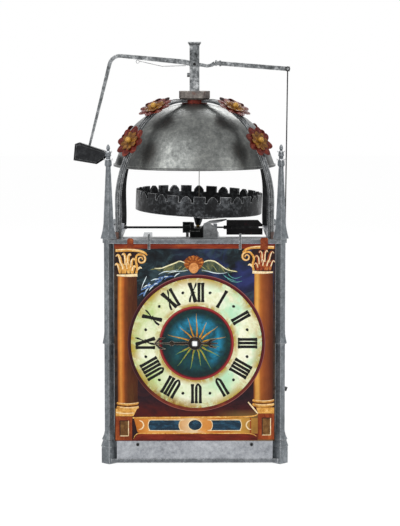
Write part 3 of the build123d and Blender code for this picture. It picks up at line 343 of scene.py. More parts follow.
def ring(shape, profile, centre=(DIAL_X, DIAL_Z), count=180, ratio=1.0):
    """A ring or disc on the dial from a profile of (radius, lift)."""
    rows = []
    for radius, lift in profile:
        rows.append([on_dial(centre[0] + radius * math.sin(a),
                             centre[1] + ratio * radius * math.cos(a), lift)
                     for a in (2 * math.pi * k / count for k in range(count))])
    verts = sheet_of(shape, rows, capped=False)
    if profile[-1][0] < SMALLEST_HOLE:
        shape.faces.new(verts[-1])


# Materials of the ironwork


def bell_shade(s, colour):
    """Painted shade: darker flanks, broken into patches by noise; the front is left brighter."""
    flank = s.remap(s.math("ABSOLUTE", s.axis("X")), 44.0, 66.0)
    shade_patches = s.blots((30, 4, 0.6, 0.4), 0.3, 0.6, 0.35)
    # painted shade on both flanks of the bell, in noisy patches
    return s.mix(s.times(flank, s.times(shade_patches, 0.85)), colour, "16191a")


def verge_shade(s, colour):
    """A brass collar in the middle of the balance."""
    height = s.axis("Z")
    collar = s.times(s.remap(height, 230.0, 231.0), s.remap(height, 245.0, 244.0))
    return s.mix(s.times(collar, 0.8), colour, "9a7a34")


def cock_shade(s, colour):
    """Pale in its right-hand drum, near black elsewhere."""
    drum = s.times(s.remap(s.axis("X"), 8.6, 9.6), s.remap(s.axis("Z"), 241.0, 239.0))
    return s.mix(s.math("SUBTRACT", 1.0, drum), colour, "0c0c0d")


def nut_shade(s, colour):
    """The bright square nut at the end of the hand's arbor."""
    across = s.math("ABSOLUTE", s.axis("X"))
    height = s.math("ABSOLUTE", s.math("SUBTRACT", s.axis("Z"), 123.0))
    near = s.math("MINIMUM", s.remap(across, 2.5, 2.1), s.remap(height, 2.5, 2.1))
    front = s.remap(s.axis("Y"), -91.0, -92.0)
    return s.mix(s.times(near, front), colour, "f4f4f2")


IRONS = {   # dark, middle and pale tone, what differs, and the nodes that have it
    "pillar_iron": ("52575b", "73787c", "94999d", dict(rough=0.36, wear=1.0, blotch=0.2,
        dents=0.12, grain=0.2, worn="dadcde"), ("pillar_front_left", "pillar_front_right",
        "pillar_back_left", "pillar_back_right",)),
    "rail_iron": ("4c4f52", "6c7074", "8e9296", dict(rough=0.34, wear=1.0, blotch=0.15,
        dents=0.12, grain=0.2, worn="e0e2e4"), ("top_rail_front", "top_rail_back",
        "top_rail_left", "top_rail_right", "base_rails", "strike_rails", "movement_crossbars",)),
    "sill_iron": ("7c7f84", "9fa2a7", "bcbfc3", dict(rough=0.4, wear=0.35, blotch=0.35,
        dents=0.15, worn="dcdddf"), ("front_sill", "fly_cocks",)),
    "strap_iron": ("3a3c3d", "585b5d", "7a7d7f", dict(rough=0.32, wear=1.0, blotch=0.1,
        worn="f2f2f2", dents=0.1, grain=0.2), ("strap_front_left", "strap_front_right",
        "dial_tabs", "hammer_spring",)),
    "cock_iron": ("6a6c6e", "9a9c9e", "c8cacc", dict(rough=0.3, wear=0.4, dents=0.15,
        shade=cock_shade), ("verge_cock",)),
    # near-black iron; on the back straps the near black is painted shade behind the bell
    "black_and_shaded_iron": ("101112", "1f2122", "3c3e40", dict(rough=0.45, wear=0.5, blotch=0.2,
        worn="8d8e8f"), ("strap_back_left", "strap_back_right", "fly_arbor",)),
    "bell_iron": ("4e504f", "6a6c6a", "868884", dict(rough=0.36, metallic=0.9, wear=0.3,
        blotch=0.4, dents=0.08, grain=0.2, shade=bell_shade), ("bell",)),
    "galvanised_iron": ("1e2021", "707375", "c8cacb", dict(rough=0.38, wear=0.5, blotch=0.7),
        ("hammer_post", "hammer_arm", "hammer_tail_bar",)),
    "black_iron": ("0e0e0f", "1b1c1d", "343536", dict(rough=0.42, metallic=0.7, wear=0.9,
        worn="9d9e9f", dents=0.4), ("pull_wire", "dial_pins", "hammer_pin",)),
    "balance_iron": ("0b0b0c", "1d1e20", "5c5f62", dict(rough=0.4, metallic=0.75, wear=1.0,
        worn="c4c6c8", dents=0.35, blotch=0.4), ("balance_wheel",)),
    "verge_iron": ("0e0e0f", "1b1c1d", "343536", dict(rough=0.42, metallic=0.7, wear=0.7,
        worn="8d8e8f", shade=verge_shade), ("verge",)),
    "hand_bronze": ("100c09", "221a13", "40342a", dict(rough=0.36, metallic=0.7, wear=1.0,
        worn="c2b8aa", dents=0.15), ("hour_hand",)),
    "vane_iron": ("080708", "100f11", "1c191c", dict(rough=0.5, metallic=0.6, wear=0.5,
        worn="5a5456", rust=0.12, rust_colour="4a1420", dents=0.25), ("fly_vane",)),
    "hammer_head_iron": ("141516", "232426", "3e4042", dict(rough=0.36, metallic=0.8, wear=0.8,
        worn="a8a9aa", dents=0.3), ("hammer_head",)),
    "works_iron": ("2f3031", "4b4d4e", "6f7070", dict(rough=0.42, wear=0.5, rust=0.2, dents=0.25,
        shade=nut_shade), ("going_front_bar", "going_rear_bar", "going_great_wheel",
        "going_rope_pulley", "going_second_wheel", "escape_wheel", "hour_wheel",
        "strike_bar_left", "strike_bar_right", "strike_great_wheel", "strike_hoop_wheel",
        "strike_rope_pulley", "strike_third_wheel", "count_wheel", "lower_potence", "lift_lever",
        "bell_bolt",)),
    "rusty_iron": ("3d3230", "5d4e4a", "83746e", dict(rough=0.62, metallic=0.5, wear=0.3,
        worn="a08f86", rust=0.55, rust_colour="6d4636"), ("strap_foot_wedges",)),
    "crown_iron": ("3b3533", "5d5653", "868079", dict(rough=0.5, metallic=0.6, wear=0.5,
        worn="b5aea8", rust=0.25), ("crown_block",)),}
irons = {}
for name, (*tones, changes, dressed_nodes) in IRONS.items():
    irons[name] = iron(name, *tones, **changes)
    dressed(irons[name], *dressed_nodes)

dressed(paint("washer_red", "3a100b", "5e1c12", "843222", rough=0.5, scale=200), "bell_washer")


def thread_material():
    s = Shader("waxed_thread")
    strands = s.noise(900, 2, 0.5, 0.0, s.stretched(1, 1, 0.25))
    s.set("Base Color", s.ramp(strands, (0.3, "5f5a50"), (0.7, "9a9384")))
    s.set("Roughness", s.remap(strands, 0.3, 0.7, 0.7, 0.5))
    s.set("Normal", s.bump(strands, 0.2, 0.8))
    return s.mat


dressed(thread_material(), "suspension_thread")


# The painted dial plate


def dial_ground():
    """Painted front: night sky, red-brown foot, dark strips by the pillars that are dark paint with
    painted pillar shade; bare iron behind.
    """
    s = Shader("dial_ground")
    height, across = s.axis("Z"), s.axis("X")
    strokes = s.noise(60, 6, 0.65, 0.8, s.stretched(1, 1, 1.6))
    fine = s.noise(420, 4, 0.6)
    sky = s.ramp(strokes, (0.36, "090c10"), (0.5, "141d22"), (0.64, "2c3e44"))
    violet = s.times(s.blots((34, 4, 0.6, 0.6), 0.42, 0.62), s.remap(across, -25.0, 35.0))
    sky = s.mix(s.times(violet, 0.85), sky, "2b3266")
    earth = s.ramp(strokes, (0.34, "140c10"), (0.52, "25131a"), (0.7, "3a1a1c"))
    wobble = s.times_plus(strokes, 40.0, height)
    front = s.mix(s.ramp(s.remap(wobble, 150.0, 205.0), (0.0, 0.0), (1.0, 1.0)), earth, sky)
    foot = s.times(s.remap(height, 66.0, 50.0), s.ramp(strokes, (0.35, 0.3), (0.6, 1.0)))
    front = s.mix(foot, front, "4f150e")
    ochre = s.times(s.remap(across, 18.0, 44.0), s.remap(height, 56.0, 49.0))
    front = s.mix(s.times(ochre, 0.7), front, "7d6236")
    # dark strips beside the pillars: dark paint, with painted shade from the pillars
    side_paint_and_shade = s.math("MAXIMUM", s.remap(across, -75.0, -78.5), s.remap(across, 77.5, 79.5))
    front = s.mix(s.times(side_paint_and_shade, 0.9), front, s.ramp(strokes, (0.4, "1a100c"), (0.65, "45301e")))
    tone = s.times_plus(s.noise(240, 5, 0.65), 0.6, s.times(s.noise(40, 3), 0.4))
    behind = s.ramp(tone, (0.35, "4a4746"), (0.5, "6c6968"), (0.66, "8d8b89"))
    painted = s.ramp(s.remap(s.facing("Y"), -0.6, -0.9), (0.0, 0.0), (1.0, 1.0))
    s.set("Base Color", s.mix(painted, behind, front))
    s.set("Metallic", s.remap(painted, 0.0, 1.0, 0.7, 0.0))
    s.set("Specular IOR Level", 0.16)
    s.set("Roughness", s.remap(fine, 0.3, 0.7, 0.55, 0.42))
    s.set("Normal", s.bump(fine, 0.15, 0.5, s.bump(strokes, 0.3, 0.3)))
    return s.mat


dressed(dial_ground(), "dial_plate")


def chapter_shade(s, colour):
    """Lime on the left, mint on the right, ochre stains at the edges, brown below left."""
    radius, across, height = s.dial_radius(), s.axis("X"), s.axis("Z")
    patches = s.blots((48, 4, 0.6, 0.7), 0.4, 0.62, 0.15)
    lime = s.times(patches, s.remap(across, -12.0, -46.0))
    colour = s.mix(s.times(lime, 0.95), colour, "a9c46e")
    mint = s.times(s.blots((36, 3, 0.6, 0.3), 0.42, 0.58), s.remap(across, 0.0, 30.0))
    colour = s.mix(s.times(mint, 0.8), colour, "a4dcb6")
    below = s.times(patches, s.remap(height, 96.0, 74.0))
    colour = s.mix(s.times(below, 0.4), colour, "c4dca6")
    rim = s.math("ADD", s.remap(radius, 56.0, 65.0), s.remap(radius, 43.5, 38.5))
    stain = s.times(rim, s.blots((70, 5, 0.7, 0.8), 0.38, 0.54))
    colour = s.mix(s.times(stain, 0.95), colour, "b0902e")
    corner = s.times(s.remap(height, 92.0, 64.0), s.remap(across, 8.0, -22.0))
    damp = s.times(s.times(corner, s.remap(radius, 56.0, 64.5)), s.blots((160, 5, 0.75), 0.4, 0.56))
    colour = s.mix(damp, colour, "82561c")
    flecks = s.blots((330, 3, 0.8), 0.6, 0.68)
    return s.mix(s.times(flecks, 0.4), colour, "a6a255")


def outer_ring_shade(s, colour):
    """A painted moulding: dark red with a thin lit line outside and orange light below."""
    radius, height = s.dial_radius(), s.axis("Z")
    across = s.ramp(s.remap(radius, 65.4, 69.2), (0.0, "1c080c"), (0.25, "4a1218"),
                    (0.5, "5c181c"), (0.7, "2c0c12"), (0.84, "a5605e"), (1.0, "18080e"))
    colour = s.mix(0.88, colour, across)
    warm = s.times(s.remap(height, 92.0, 66.0), s.blots((60, 4, 0.6), 0.35, 0.6, 0.2))
    colour = s.mix(s.times(warm, 0.45), colour, "a04e26")
    dim = s.times(s.remap(s.axis("X"), -30.0, -55.0), 0.7)
    return s.mix(dim, colour, "1a0b10")


def inner_ring_shade(s, colour):
    """Dark maroon inside, a red fillet and a thin light line towards the figures."""
    radius = s.dial_radius()
    return s.mix(0.85, colour, s.ramp(s.remap(radius, 33.5, 38.2), (0.0, "1a0c12"),
                                      (0.3, "3a1018"), (0.5, "8a2226"), (0.66, "a8383a"),
                                      (0.8, "5a161a"), (0.9, "d0a070"), (1.0, "7a4a2c")))


def sky_disc_shade(s, colour):
    """Bright turquoise above and at the lower right, dark teal below, black-green rim."""
    radius, height, across = s.dial_radius(), s.axis("Z"), s.axis("X")
    mid = s.times(s.remap(radius, 3.0, 12.0), s.remap(radius, 31.0, 23.0))
    above = s.math("MAXIMUM", s.remap(height, DIAL_Z + 2.0, DIAL_Z + 12.0),
                   s.times(s.remap(across, 12.0, 20.0), 0.9))
    cloud = s.blots((75, 5, 0.65, 1.2), 0.38, 0.58, 0.1)
    bright = s.times(s.times(mid, above), cloud)
    colour = s.mix(s.times(bright, 0.9), colour, "2590b8")
    rim = s.ramp(s.remap(radius, 23.0, 31.0), (0.0, 0.0), (1.0, 1.0))
    colour = s.mix(s.times(rim, 0.8), colour, "10201f")
    hazy = s.blots((120, 4, 0.7, 1.0), 0.46, 0.66)
    return s.mix(s.times(hazy, 0.4), colour, "1d4a3c")


def band_shade(s, colour):
    """Orange-gold at the left, cream near the middle, ochre right, one red upright line."""
    across = s.axis("X")
    wobble = s.times_plus(s.noise(50, 5, 0.65, 0.5), 30.0, across)
    along = s.ramp(s.remap(wobble, -46.0, 78.0), (0.0, "b4651f"), (0.14, "dc9848"),
                   (0.34, "c98a44"), (0.48, "f0e0b8"), (0.56, "e09a4c"), (0.7, "b4601f"),
                   (0.86, "c09440"), (1.0, "8a6a30"))
    colour = s.mix(0.75, colour, along)
    line = s.remap(s.math("ABSOLUTE", s.math("SUBTRACT", across, 56.1)), 0.9, 0.5)
    return s.mix(s.times(line, 0.8), colour, "8a2416")


def shaft_shade(left_edge, right_edge, *stops):
    """Shades a painted column across its width, with streaks down its length."""
    def shade(s, colour):
        streaks = s.noise(150, 4, 0.6, 0.2, s.stretched(1, 1, 0.06))
        wobble = s.times_plus(s.noise(45, 4, 0.6, 0.3, s.stretched(1, 1, 0.25)), 3.4,
                              s.times_plus(streaks, 3.0, s.axis("X")))
        place = s.remap(wobble, left_edge + 3.2, right_edge + 3.2)
        return s.mix(0.88, colour, s.ramp(place, *stops))
    return shade


USUAL_PAINT = {"scale": 240, "rough": 0.45, "grime": 0.1}
PAINTS = {   # dark, middle and pale tone, and what differs from the usual paint
    "cream_paint": ("d6d8a8", "e9ebcc", "f6f6e6", dict(scale=70, shade=chapter_shade)),
    "ring_red": ("300c12", "54141a", "7a2226", dict(scale=90, rough=0.42, grime=0.2,
        shade=outer_ring_shade)),
    "inner_red": ("4a1216", "7a1f22", "a5403c", dict(scale=90, rough=0.42, grime=0.15,
        shade=inner_ring_shade)),
    "disc_teal": ("0f2a30", "173f48", "1f5a62", dict(scale=85, rough=0.4, grime=0.2,
        shade=sky_disc_shade)),
    "ink_black": ("0a0a09", "131210", "24221e", dict(scale=260, rough=0.55)),
    "ray_gold": ("7b5d1c", "c08f28", "d9b44c", dict(scale=300)),
    "ray_orange": ("6a2c14", "b4551e", "d8812e", dict(scale=300)),
    "ray_green": ("3b5a2c", "6c8a3c", "a2ad58", dict(scale=300)),
    "gilt_paint": ("a0662a", "d89c48", "f2cf86", dict(rough=0.42, grime=0.15)),
    "gilt_dark": ("5a2f14", "8a4f20", "b97a38", dict(grime=0.2)),
    "leaf_brown": ("5a2012", "8e3a1e", "c07a40", dict(grime=0.15)),
    "pale_gilt": ("c9a878", "ecd3a4", "f8ecd0", dict(scale=260)),
    "shadow_paint": ("150b0c", "241214", "381c1c", dict(scale=120, rough=0.5, grime=0.35)),
    "pedestal_red": ("5c2412", "8e3f1c", "b4602e", dict(scale=130, grime=0.35, brush=(1, 1, 0.4))),
    "panel_brown": ("4b3018", "6e4a26", "8d6a3c", dict(scale=160, grime=0.35)),
    "band_gold": ("9a5420", "c87f38", "e2ab5c", dict(scale=110, rough=0.42, grime=0.15,
        brush=(0.35, 1, 1), shade=band_shade)),
    "band_red": ("45150f", "6b2115", "8a3520", dict(scale=110, grime=0.35, brush=(0.25, 1, 1))),
    "top_red": ("4c150c", "7a2a14", "a85424", dict(scale=110, grime=0.35, brush=(0.2, 1, 1.5))),
    "ear_paint": ("4a1a10", "7c3318", "a86232", dict(scale=200, rough=0.5, grime=0.35)),
    "cartouche_blue": ("0f1a22", "1c3242", "34607a", dict(scale=150, rough=0.42, grime=0.15,
        brush=(0.6, 1, 1.4))),
    "cloud_blue": ("2b4470", "4c6ca0", "8fb0d6", dict(scale=170)),
    "cloud_white": ("9fb8c8", "cfdfe4", "f2f6f4", dict(scale=200, rough=0.5, grime=0.05)),
    "cloud_teal": ("2f6a6c", "5a9c98", "a4cfc6", dict(scale=200, rough=0.5, grime=0.05)),
    "wing_fill": ("1f2a2a", "3f4a3c", "77764c", dict(scale=170, rough=0.5, brush=(1, 1, 0.5))),
    "wing_edge": ("bdb486", "e4dcae", "f6f2d8", dict(rough=0.5, grime=0.05)),
    "wing_feather": ("4a5038", "7c7c4c", "a8a066", dict(scale=200, rough=0.5)),
    "skin_paint": ("a8602c", "cf8c50", "e6b078", dict(scale=150, rough=0.5, grime=0.05)),
    "skin_line": ("7a3c22", "93502c", "a8623a", dict(rough=0.55, grime=0.05)),
    "hair_paint": ("4c2410", "7e3e18", "b06228", dict(scale=300, rough=0.5)),
    "hair_light": ("86451a", "b4682a", "d69448", dict(scale=300, rough=0.5, grime=0.05)),
    "left_shaft_paint": ("6d3014", "b05a22", "d48838", dict(scale=120, rough=0.42, grime=0.35,
        brush=(1, 1, 0.2), shade=shaft_shade(-77.0, -57.5, (0.0, "5a2c12"), (0.06, "b4682a"),
        (0.16, "dc9442"), (0.27, "b96626"), (0.38, "6a3216"), (0.55, "34190f"), (0.8, "220f0c"),
        (1.0, "1a0c0c")))),
    "right_shaft_paint": ("6d3014", "a2521f", "c87a34", dict(scale=120, rough=0.42, grime=0.35,
        brush=(1, 1, 0.2), shade=shaft_shade(59.2, 78.2, (0.0, "8a4a20"), (0.08, "d89c48"), (0.2,
        "e2aa56"), (0.34, "ac6228"), (0.52, "864420"), (0.72, "6e361e"), (0.88, "4e2216"), (1.0,
        "2a1412")))),}
paints = {name: paint(name, *tones, **{**USUAL_PAINT, **changes})
          for name, (*tones, changes) in PAINTS.items()}


def dial_piece(name, shape, paint_name):
    return finished(name, shape, paints[paint_name])


RINGS = {   # profile of (radius, lift) and paint of each ring, from the outside in
    "dial_outer_ring": (((69.0, -0.1), (69.0, 0.3), (68.3, 0.5), (67.3, 0.6), (66.3, 0.5),
                         (65.5, 0.3), (65.5, -0.1)), "ring_red"),
    "dial_chapter_ring": (((65.7, -0.1), (65.7, 0.3), (37.2, 0.3), (37.2, -0.1)), "cream_paint"),
    "dial_inner_ring": (((37.6, -0.1), (37.6, 0.34), (36.8, 0.5), (35.6, 0.5), (34.2, 0.3),
                         (34.2, -0.1)), "inner_red"),
    "dial_sky_disc": (((34.4, -0.1), (34.4, 0.2), (3.2, 0.2), (3.2, -0.1)), "disc_teal"),}


def paint_rings():
    for name, (profile, paint_name) in RINGS.items():
        shape = bmesh.new()
        ring(shape, profile)
        dial_piece(name, shape, paint_name)


def upright(angle, points):
    """Moves (u, r, width) points of a numeral to their hour; u runs clockwise."""
    s, c = math.sin(angle), math.cos(angle)
    return [(DIAL_X + r * s + u * c, DIAL_Z + r * c - u * s, width) for u, r, width in points]


FOOT, HEAD = 41.4, 61.0


def bar_i(u):
    return [[(u, HEAD, 2.9), (u + 0.05, HEAD - 1.0, 3.9), (u, HEAD - 3.6, 3.1),
             (u, FOOT + 3.6, 3.0), (u, FOOT + 1.0, 3.8), (u, FOOT, 2.9)]]


def letter_v(u):
    return [[(u - 2.1, HEAD, 2.7), (u - 2.1, HEAD - 1.0, 3.5), (u - 2.0, HEAD - 3.6, 3.0),
             (u - 2.0, FOOT + 5, 2.9), (u - 1.7, FOOT + 2.6, 2.6), (u + 0.3, FOOT - 0.4, 1.6)],
            [(u + 0.3, FOOT - 0.4, 1.6), (u + 1.8, FOOT + 2.2, 2.4), (u + 2.1, FOOT + 5, 2.8),
             (u + 2.1, HEAD - 3.6, 2.8), (u + 2.1, HEAD - 1.0, 3.4), (u + 2.1, HEAD, 2.6)]]


def letter_x(u):
    return [[(u - 3.1, HEAD, 3.2), (u - 2.8, HEAD - 1.2, 4.3), (u - 1.2, HEAD - 6, 3.5),
             (u + 1.2, FOOT + 6, 3.5), (u + 2.7, FOOT + 1.2, 4.3), (u + 3.1, FOOT, 3.2)],
            [(u + 3.6, HEAD + 0.4, 0.5), (u + 3.1, HEAD - 2.2, 1.9), (u + 1.6, HEAD - 6, 1.1),
             (u - 0.9, FOOT + 8, 1.1), (u - 2.3, FOOT + 3.6, 2.3), (u - 2.7, FOOT, 2.0)],
            [(u - 2.4, 54.0, 0.4), (u - 0.4, 52.4, 1.4), (u + 2.6, 51.2, 0.6)],
            [(u - 2.6, 50.6, 0.4), (u + 0.2, 50.2, 1.2), (u + 2.3, 48.6, 0.5)]]


SHAPES = {"I": (bar_i, 3.8), "V": (letter_v, 7.6), "X": (letter_x, 8.8)}
HOURS = ("XII", "I", "II", "III", "IIII", "V", "VI", "VII", "VIII", "IX", "X", "XI")


def paint_numerals():
    shape = bmesh.new()
    for hour, letters in enumerate(HOURS):
        angle = 2 * math.pi * hour / 12
        place = -sum(SHAPES[letter][1] for letter in letters) / 2
        for letter in letters:
            draw, width = SHAPES[letter]
            for line in draw(place + width / 2):
                drift = draws.uniform(-0.15, 0.15)
                stroke(shape, upright(angle, [(u + drift, r, w) for u, r, w in line]),
                       lift=0.1, base=0.3, steps=5, crown=0.9)
            place += width
        dot = angle + math.pi / 12
        stroke(shape, upright(dot, [(-1.5, 52.7, 0.6), (-0.9, 52.6, 2.4), (0, 52.5, 3.1),
                                    (0.9, 52.6, 2.4), (1.5, 52.4, 0.6)]),
               lift=0.1, base=0.3, steps=4, crown=0.9)
    dial_piece("dial_numerals", shape, "ink_black")


def paint_rays():
    """Thin, slightly wavy rays: gold with orange beside them above, green below."""
    rays = {"gold": bmesh.new(), "orange": bmesh.new(), "green": bmesh.new()}
    count = 15
    for i in range(count):
        angle = 2 * math.pi * (i + 0.1) / count + draws.uniform(-0.06, 0.06)
        long = (30.0, 23.5, 27.0)[i % 3]
        bend = 0.8 if i % 4 < 2 else -0.8
        above = math.cos(angle) > -0.1
        for kind, shift, share, wide in (("gold" if above else "green", 0.0, 1.0, 1.5),
                                         ("orange" if above else "gold", 0.75, 0.7, 0.7)):
            line = []
            for k in range(7):
                t = k / 6
                r = 6.5 + (long * share - 6.5) * t
                sway = shift * (1 - t) + bend * math.sin(1.7 * math.pi * t) * 0.6
                line.append((sway, r, wide * (1 - t) ** 0.7 + 0.15))
            stroke(rays[kind], upright(angle, line), lift=0.12, base=0.2, steps=4)
    for kind, shape in rays.items():
        dial_piece(f"dial_rays_{kind}", shape, f"ray_{kind}")


def paint_columns():
    """The shafts of the two painted columns; their bases and pedestals are painted separately."""
    for side, left, right, low, high in (
            ("left", -77.2, -57.4, 62.5, 190.5), ("right", 59.2, 78.4, 65.0, 193.0)):
        shape = bmesh.new()
        rows = []
        swell = ((0.0, 0.0), (0.12, 0.1), (0.3, 0.17), (0.5, 0.2), (0.7, 0.17), (0.88, 0.1), (1.0, 0.0))
        for k in range(9):
            t = k / 8
            pinch = 0.7 * math.sin(math.pi * t) - 0.8 * t
            line = [on_dial(left + (right - left) * a + (0.5 - a) * -pinch, low
                            + (high - low) * t, 0.05 + h) for a, h in swell]
            line += [on_dial(right + 0.5 * pinch, low + (high - low) * t, -0.1),
                     on_dial(left - 0.5 * pinch, low + (high - low) * t, -0.1)]
            rows.append(line)
        sheet_of(shape, rows)
        dial_piece(f"dial_{side}_shaft", shape, f"{side}_shaft_paint")


def paint_bases():
    gilt, dark, pale = bmesh.new(), bmesh.new(), bmesh.new()
    for left, right, top in ((-78.2, -56.4, 62.6), (58.0, 79.6, 65.4)):
        mid = (left + right) / 2
        for drop, wide, lift in ((0.0, 2.4, 0.65), (4.1, 3.0, 0.75)):
            line = [(left, top - drop, wide * 0.7), (left + 3, top - drop - 1.0, wide),
                    (mid, top - drop - 1.7, wide), (right - 3, top - drop - 1.0, wide),
                    (right, top - drop + 0.1, wide * 0.6)]
            stroke(gilt, line, lift=lift, base=0.05)
            stroke(pale, [(x, z + 0.65, w * 0.22) for x, z, w in line[1:]], lift=0.12, base=0.05 + lift)
            stroke(dark, [(x, z - 1.5, w * 0.4) for x, z, w in line], lift=0.3, base=0.05)
    patch(gilt, [(-79.4, 56.6), (-58.0, 56.4), (-61.6, 48.9), (-79.4, 48.9)], 0.35)
    stroke(pale, [(-79.0, 52.6, 1.0), (-70.0, 51.6, 1.2), (-61.0, 52.2, 0.8)], 0.1, 0.36)
    patch(gilt, [(61.8, 57.6), (79.8, 57.6), (79.8, 51.6), (63.8, 51.6)], 0.3)
    stroke(pale, [(53.6, 63.2, 1.0), (58.0, 58.0, 1.7), (63.4, 51.4, 1.2)], 0.3, 0.2)
    dial_piece("dial_base_gilt", gilt, "gilt_paint")
    dial_piece("dial_base_shadow", dark, "gilt_dark")
    dial_piece("dial_base_light", pale, "pale_gilt")


def paint_pedestals():
    red, panel, light, shade = (bmesh.new() for _ in range(4))
    for left, right, low, high in ((-79.6, -63.0, 24.2, 48.6), (63.4, 79.8, 25.0, 51.4)):
        patch(red, [(left, low), (right, low), (right, high), (left, high)], 0.3)
        a, b, c, d = left + 4.4, right - 3.6, low + 4.6, high - 4.4
        patch(panel, [(a, c), (b, c), (b, d), (a, d)], 0.36)
        stroke(light, [(b, c, 0.9), (b, d, 0.9)], 0.16, 0.34)
        stroke(light, [(a, c, 0.8), (b, c, 0.9)], 0.16, 0.34)
        stroke(shade, [(a, c, 0.9), (a, d, 0.9)], 0.16, 0.34)
        stroke(shade, [(a, d, 0.8), (b, d, 0.8)], 0.16, 0.34)
    patch(shade, [(-62.8, 24.4), (-57.2, 30.4), (-57.2, 46.0), (-62.8, 46.0)], 0.12)
    dial_piece("dial_pedestals", red, "pedestal_red")
    dial_piece("dial_pedestal_panels", panel, "panel_brown")
    dial_piece("dial_panel_lights", light, "pale_gilt")
    dial_piece("dial_panel_shadows", shade, "shadow_paint")


def oval(x, z, a, b, count=40):
    return [(x + a * math.sin(2 * math.pi * k / count), z + b * math.cos(2 * math.pi * k / count))
            for k in range(count)]


def cartouche(left, right, low, high, flip):
    """A panel with one round end and one notched end."""
    mid, half = (low + high) / 2, (high - low) / 2
    line = []
    for k in range(9):
        a = math.pi / 2 - math.pi * k / 8
        line.append((right + half * 0.55 * math.cos(a) - 1.5, mid + half * math.sin(a)))
    for k in range(9):
        a = -math.pi / 2 + math.pi * k / 8
        line.append((left + 3.2 * math.cos(a), mid + half * math.sin(a)))
    if flip:
        line = [(left + right - x, z) for x, z in line]
    return line


def outlined(shape, outline, width, lift, base):
    loop = [(x, z, width) for x, z in outline]
    stroke(shape, loop + loop[:2], lift, base, steps=3)


def paint_plinth():
    band, red, light, blue, rim = (bmesh.new() for _ in range(5))
    patch(band, [(-61.0, 46.4), (63.4, 47.0), (63.4, 31.0), (-55.4, 31.6), (-57.6, 32.6)], 0.14)
    patch(red, [(-62.6, 24.2), (63.2, 24.2), (63.2, 31.6), (-56.2, 31.6)], 0.1)
    stroke(light, [(-62.4, 47.2, 1.5), (0, 47.6, 1.7), (52, 48.2, 1.6), (63.4, 50.6, 0.8)], 0.3, 0.1)
    stroke(light, [(-61.6, 26.0, 0.4), (-57.0, 31.0, 1.0), (-40, 31.3, 1.3), (20, 31.3, 1.1),
                   (54, 31.0, 0.9), (62, 28.2, 0.4)], 0.28, 0.1)
    stroke(red, [(-57, 29.4, 0.6), (0, 29.2, 0.9), (57, 29.0, 0.6)], 0.2, 0.1)
    for left, right, flip in ((-45.4, -12.6, True), (14.6, 45.6, False)):
        shape = cartouche(left, right, 34.2, 45.0, flip)
        patch(blue, shape, 0.18)
        outlined(rim, shape, 0.8, 0.16, 0.16)
    middle = oval(0.3, 39.8, 6.9, 5.5)
    patch(blue, middle, 0.18)
    outlined(rim, middle, 0.8, 0.16, 0.16)
    for x, turn in ((-56.0, 1), (56.4, -1)):
        stroke(rim, [(x, 44.6, 0.4), (x + 3.2 * turn, 43.0, 1.2), (x + 4.6 * turn, 39.4, 1.4),
                     (x + 2.4 * turn, 35.8, 1.2), (x - 0.4 * turn, 35.4, 0.4)], 0.14, 0.14)
    dial_piece("dial_band", band, "band_gold")
    dial_piece("dial_band_red", red, "band_red")
    dial_piece("dial_band_lights", light, "gilt_paint")
    dial_piece("dial_cartouches", blue, "cartouche_blue")
    dial_piece("dial_cartouche_rims", rim, "pale_gilt")


def spiral(x, z, start, turns, r_out, r_in, w_out, w_in, clockwise, count=26):
    line = []
    for k in range(count + 1):
        t = k / count
        a = start + (-1 if clockwise else 1) * 2 * math.pi * turns * t
        r = r_out + (r_in - r_out) * t ** 0.8
        line.append((x + r * math.cos(a), z + r * math.sin(a), w_out + (w_in - w_out) * t))
    return line


BROW_Z = 202.4    # the height from which the painted locks spring
LEAVES = (   # base x, tip x, tip z and hook, from the middle of the capital's foot
    (-5.2, -8.6, 19.6, -2.6), (-2.2, -3.0, 20.8, -2.2), (1.8, 1.6, 20.2, 2.2),
    (4.0, 5.2, 15.6, 2.6), (-7.6, -10.0, 10.6, -2.2), (-3.6, -5.6, 11.4, -1.8),
    (1.0, 0.2, 12.0, 1.6), (5.2, 6.6, 8.2, 2.0))


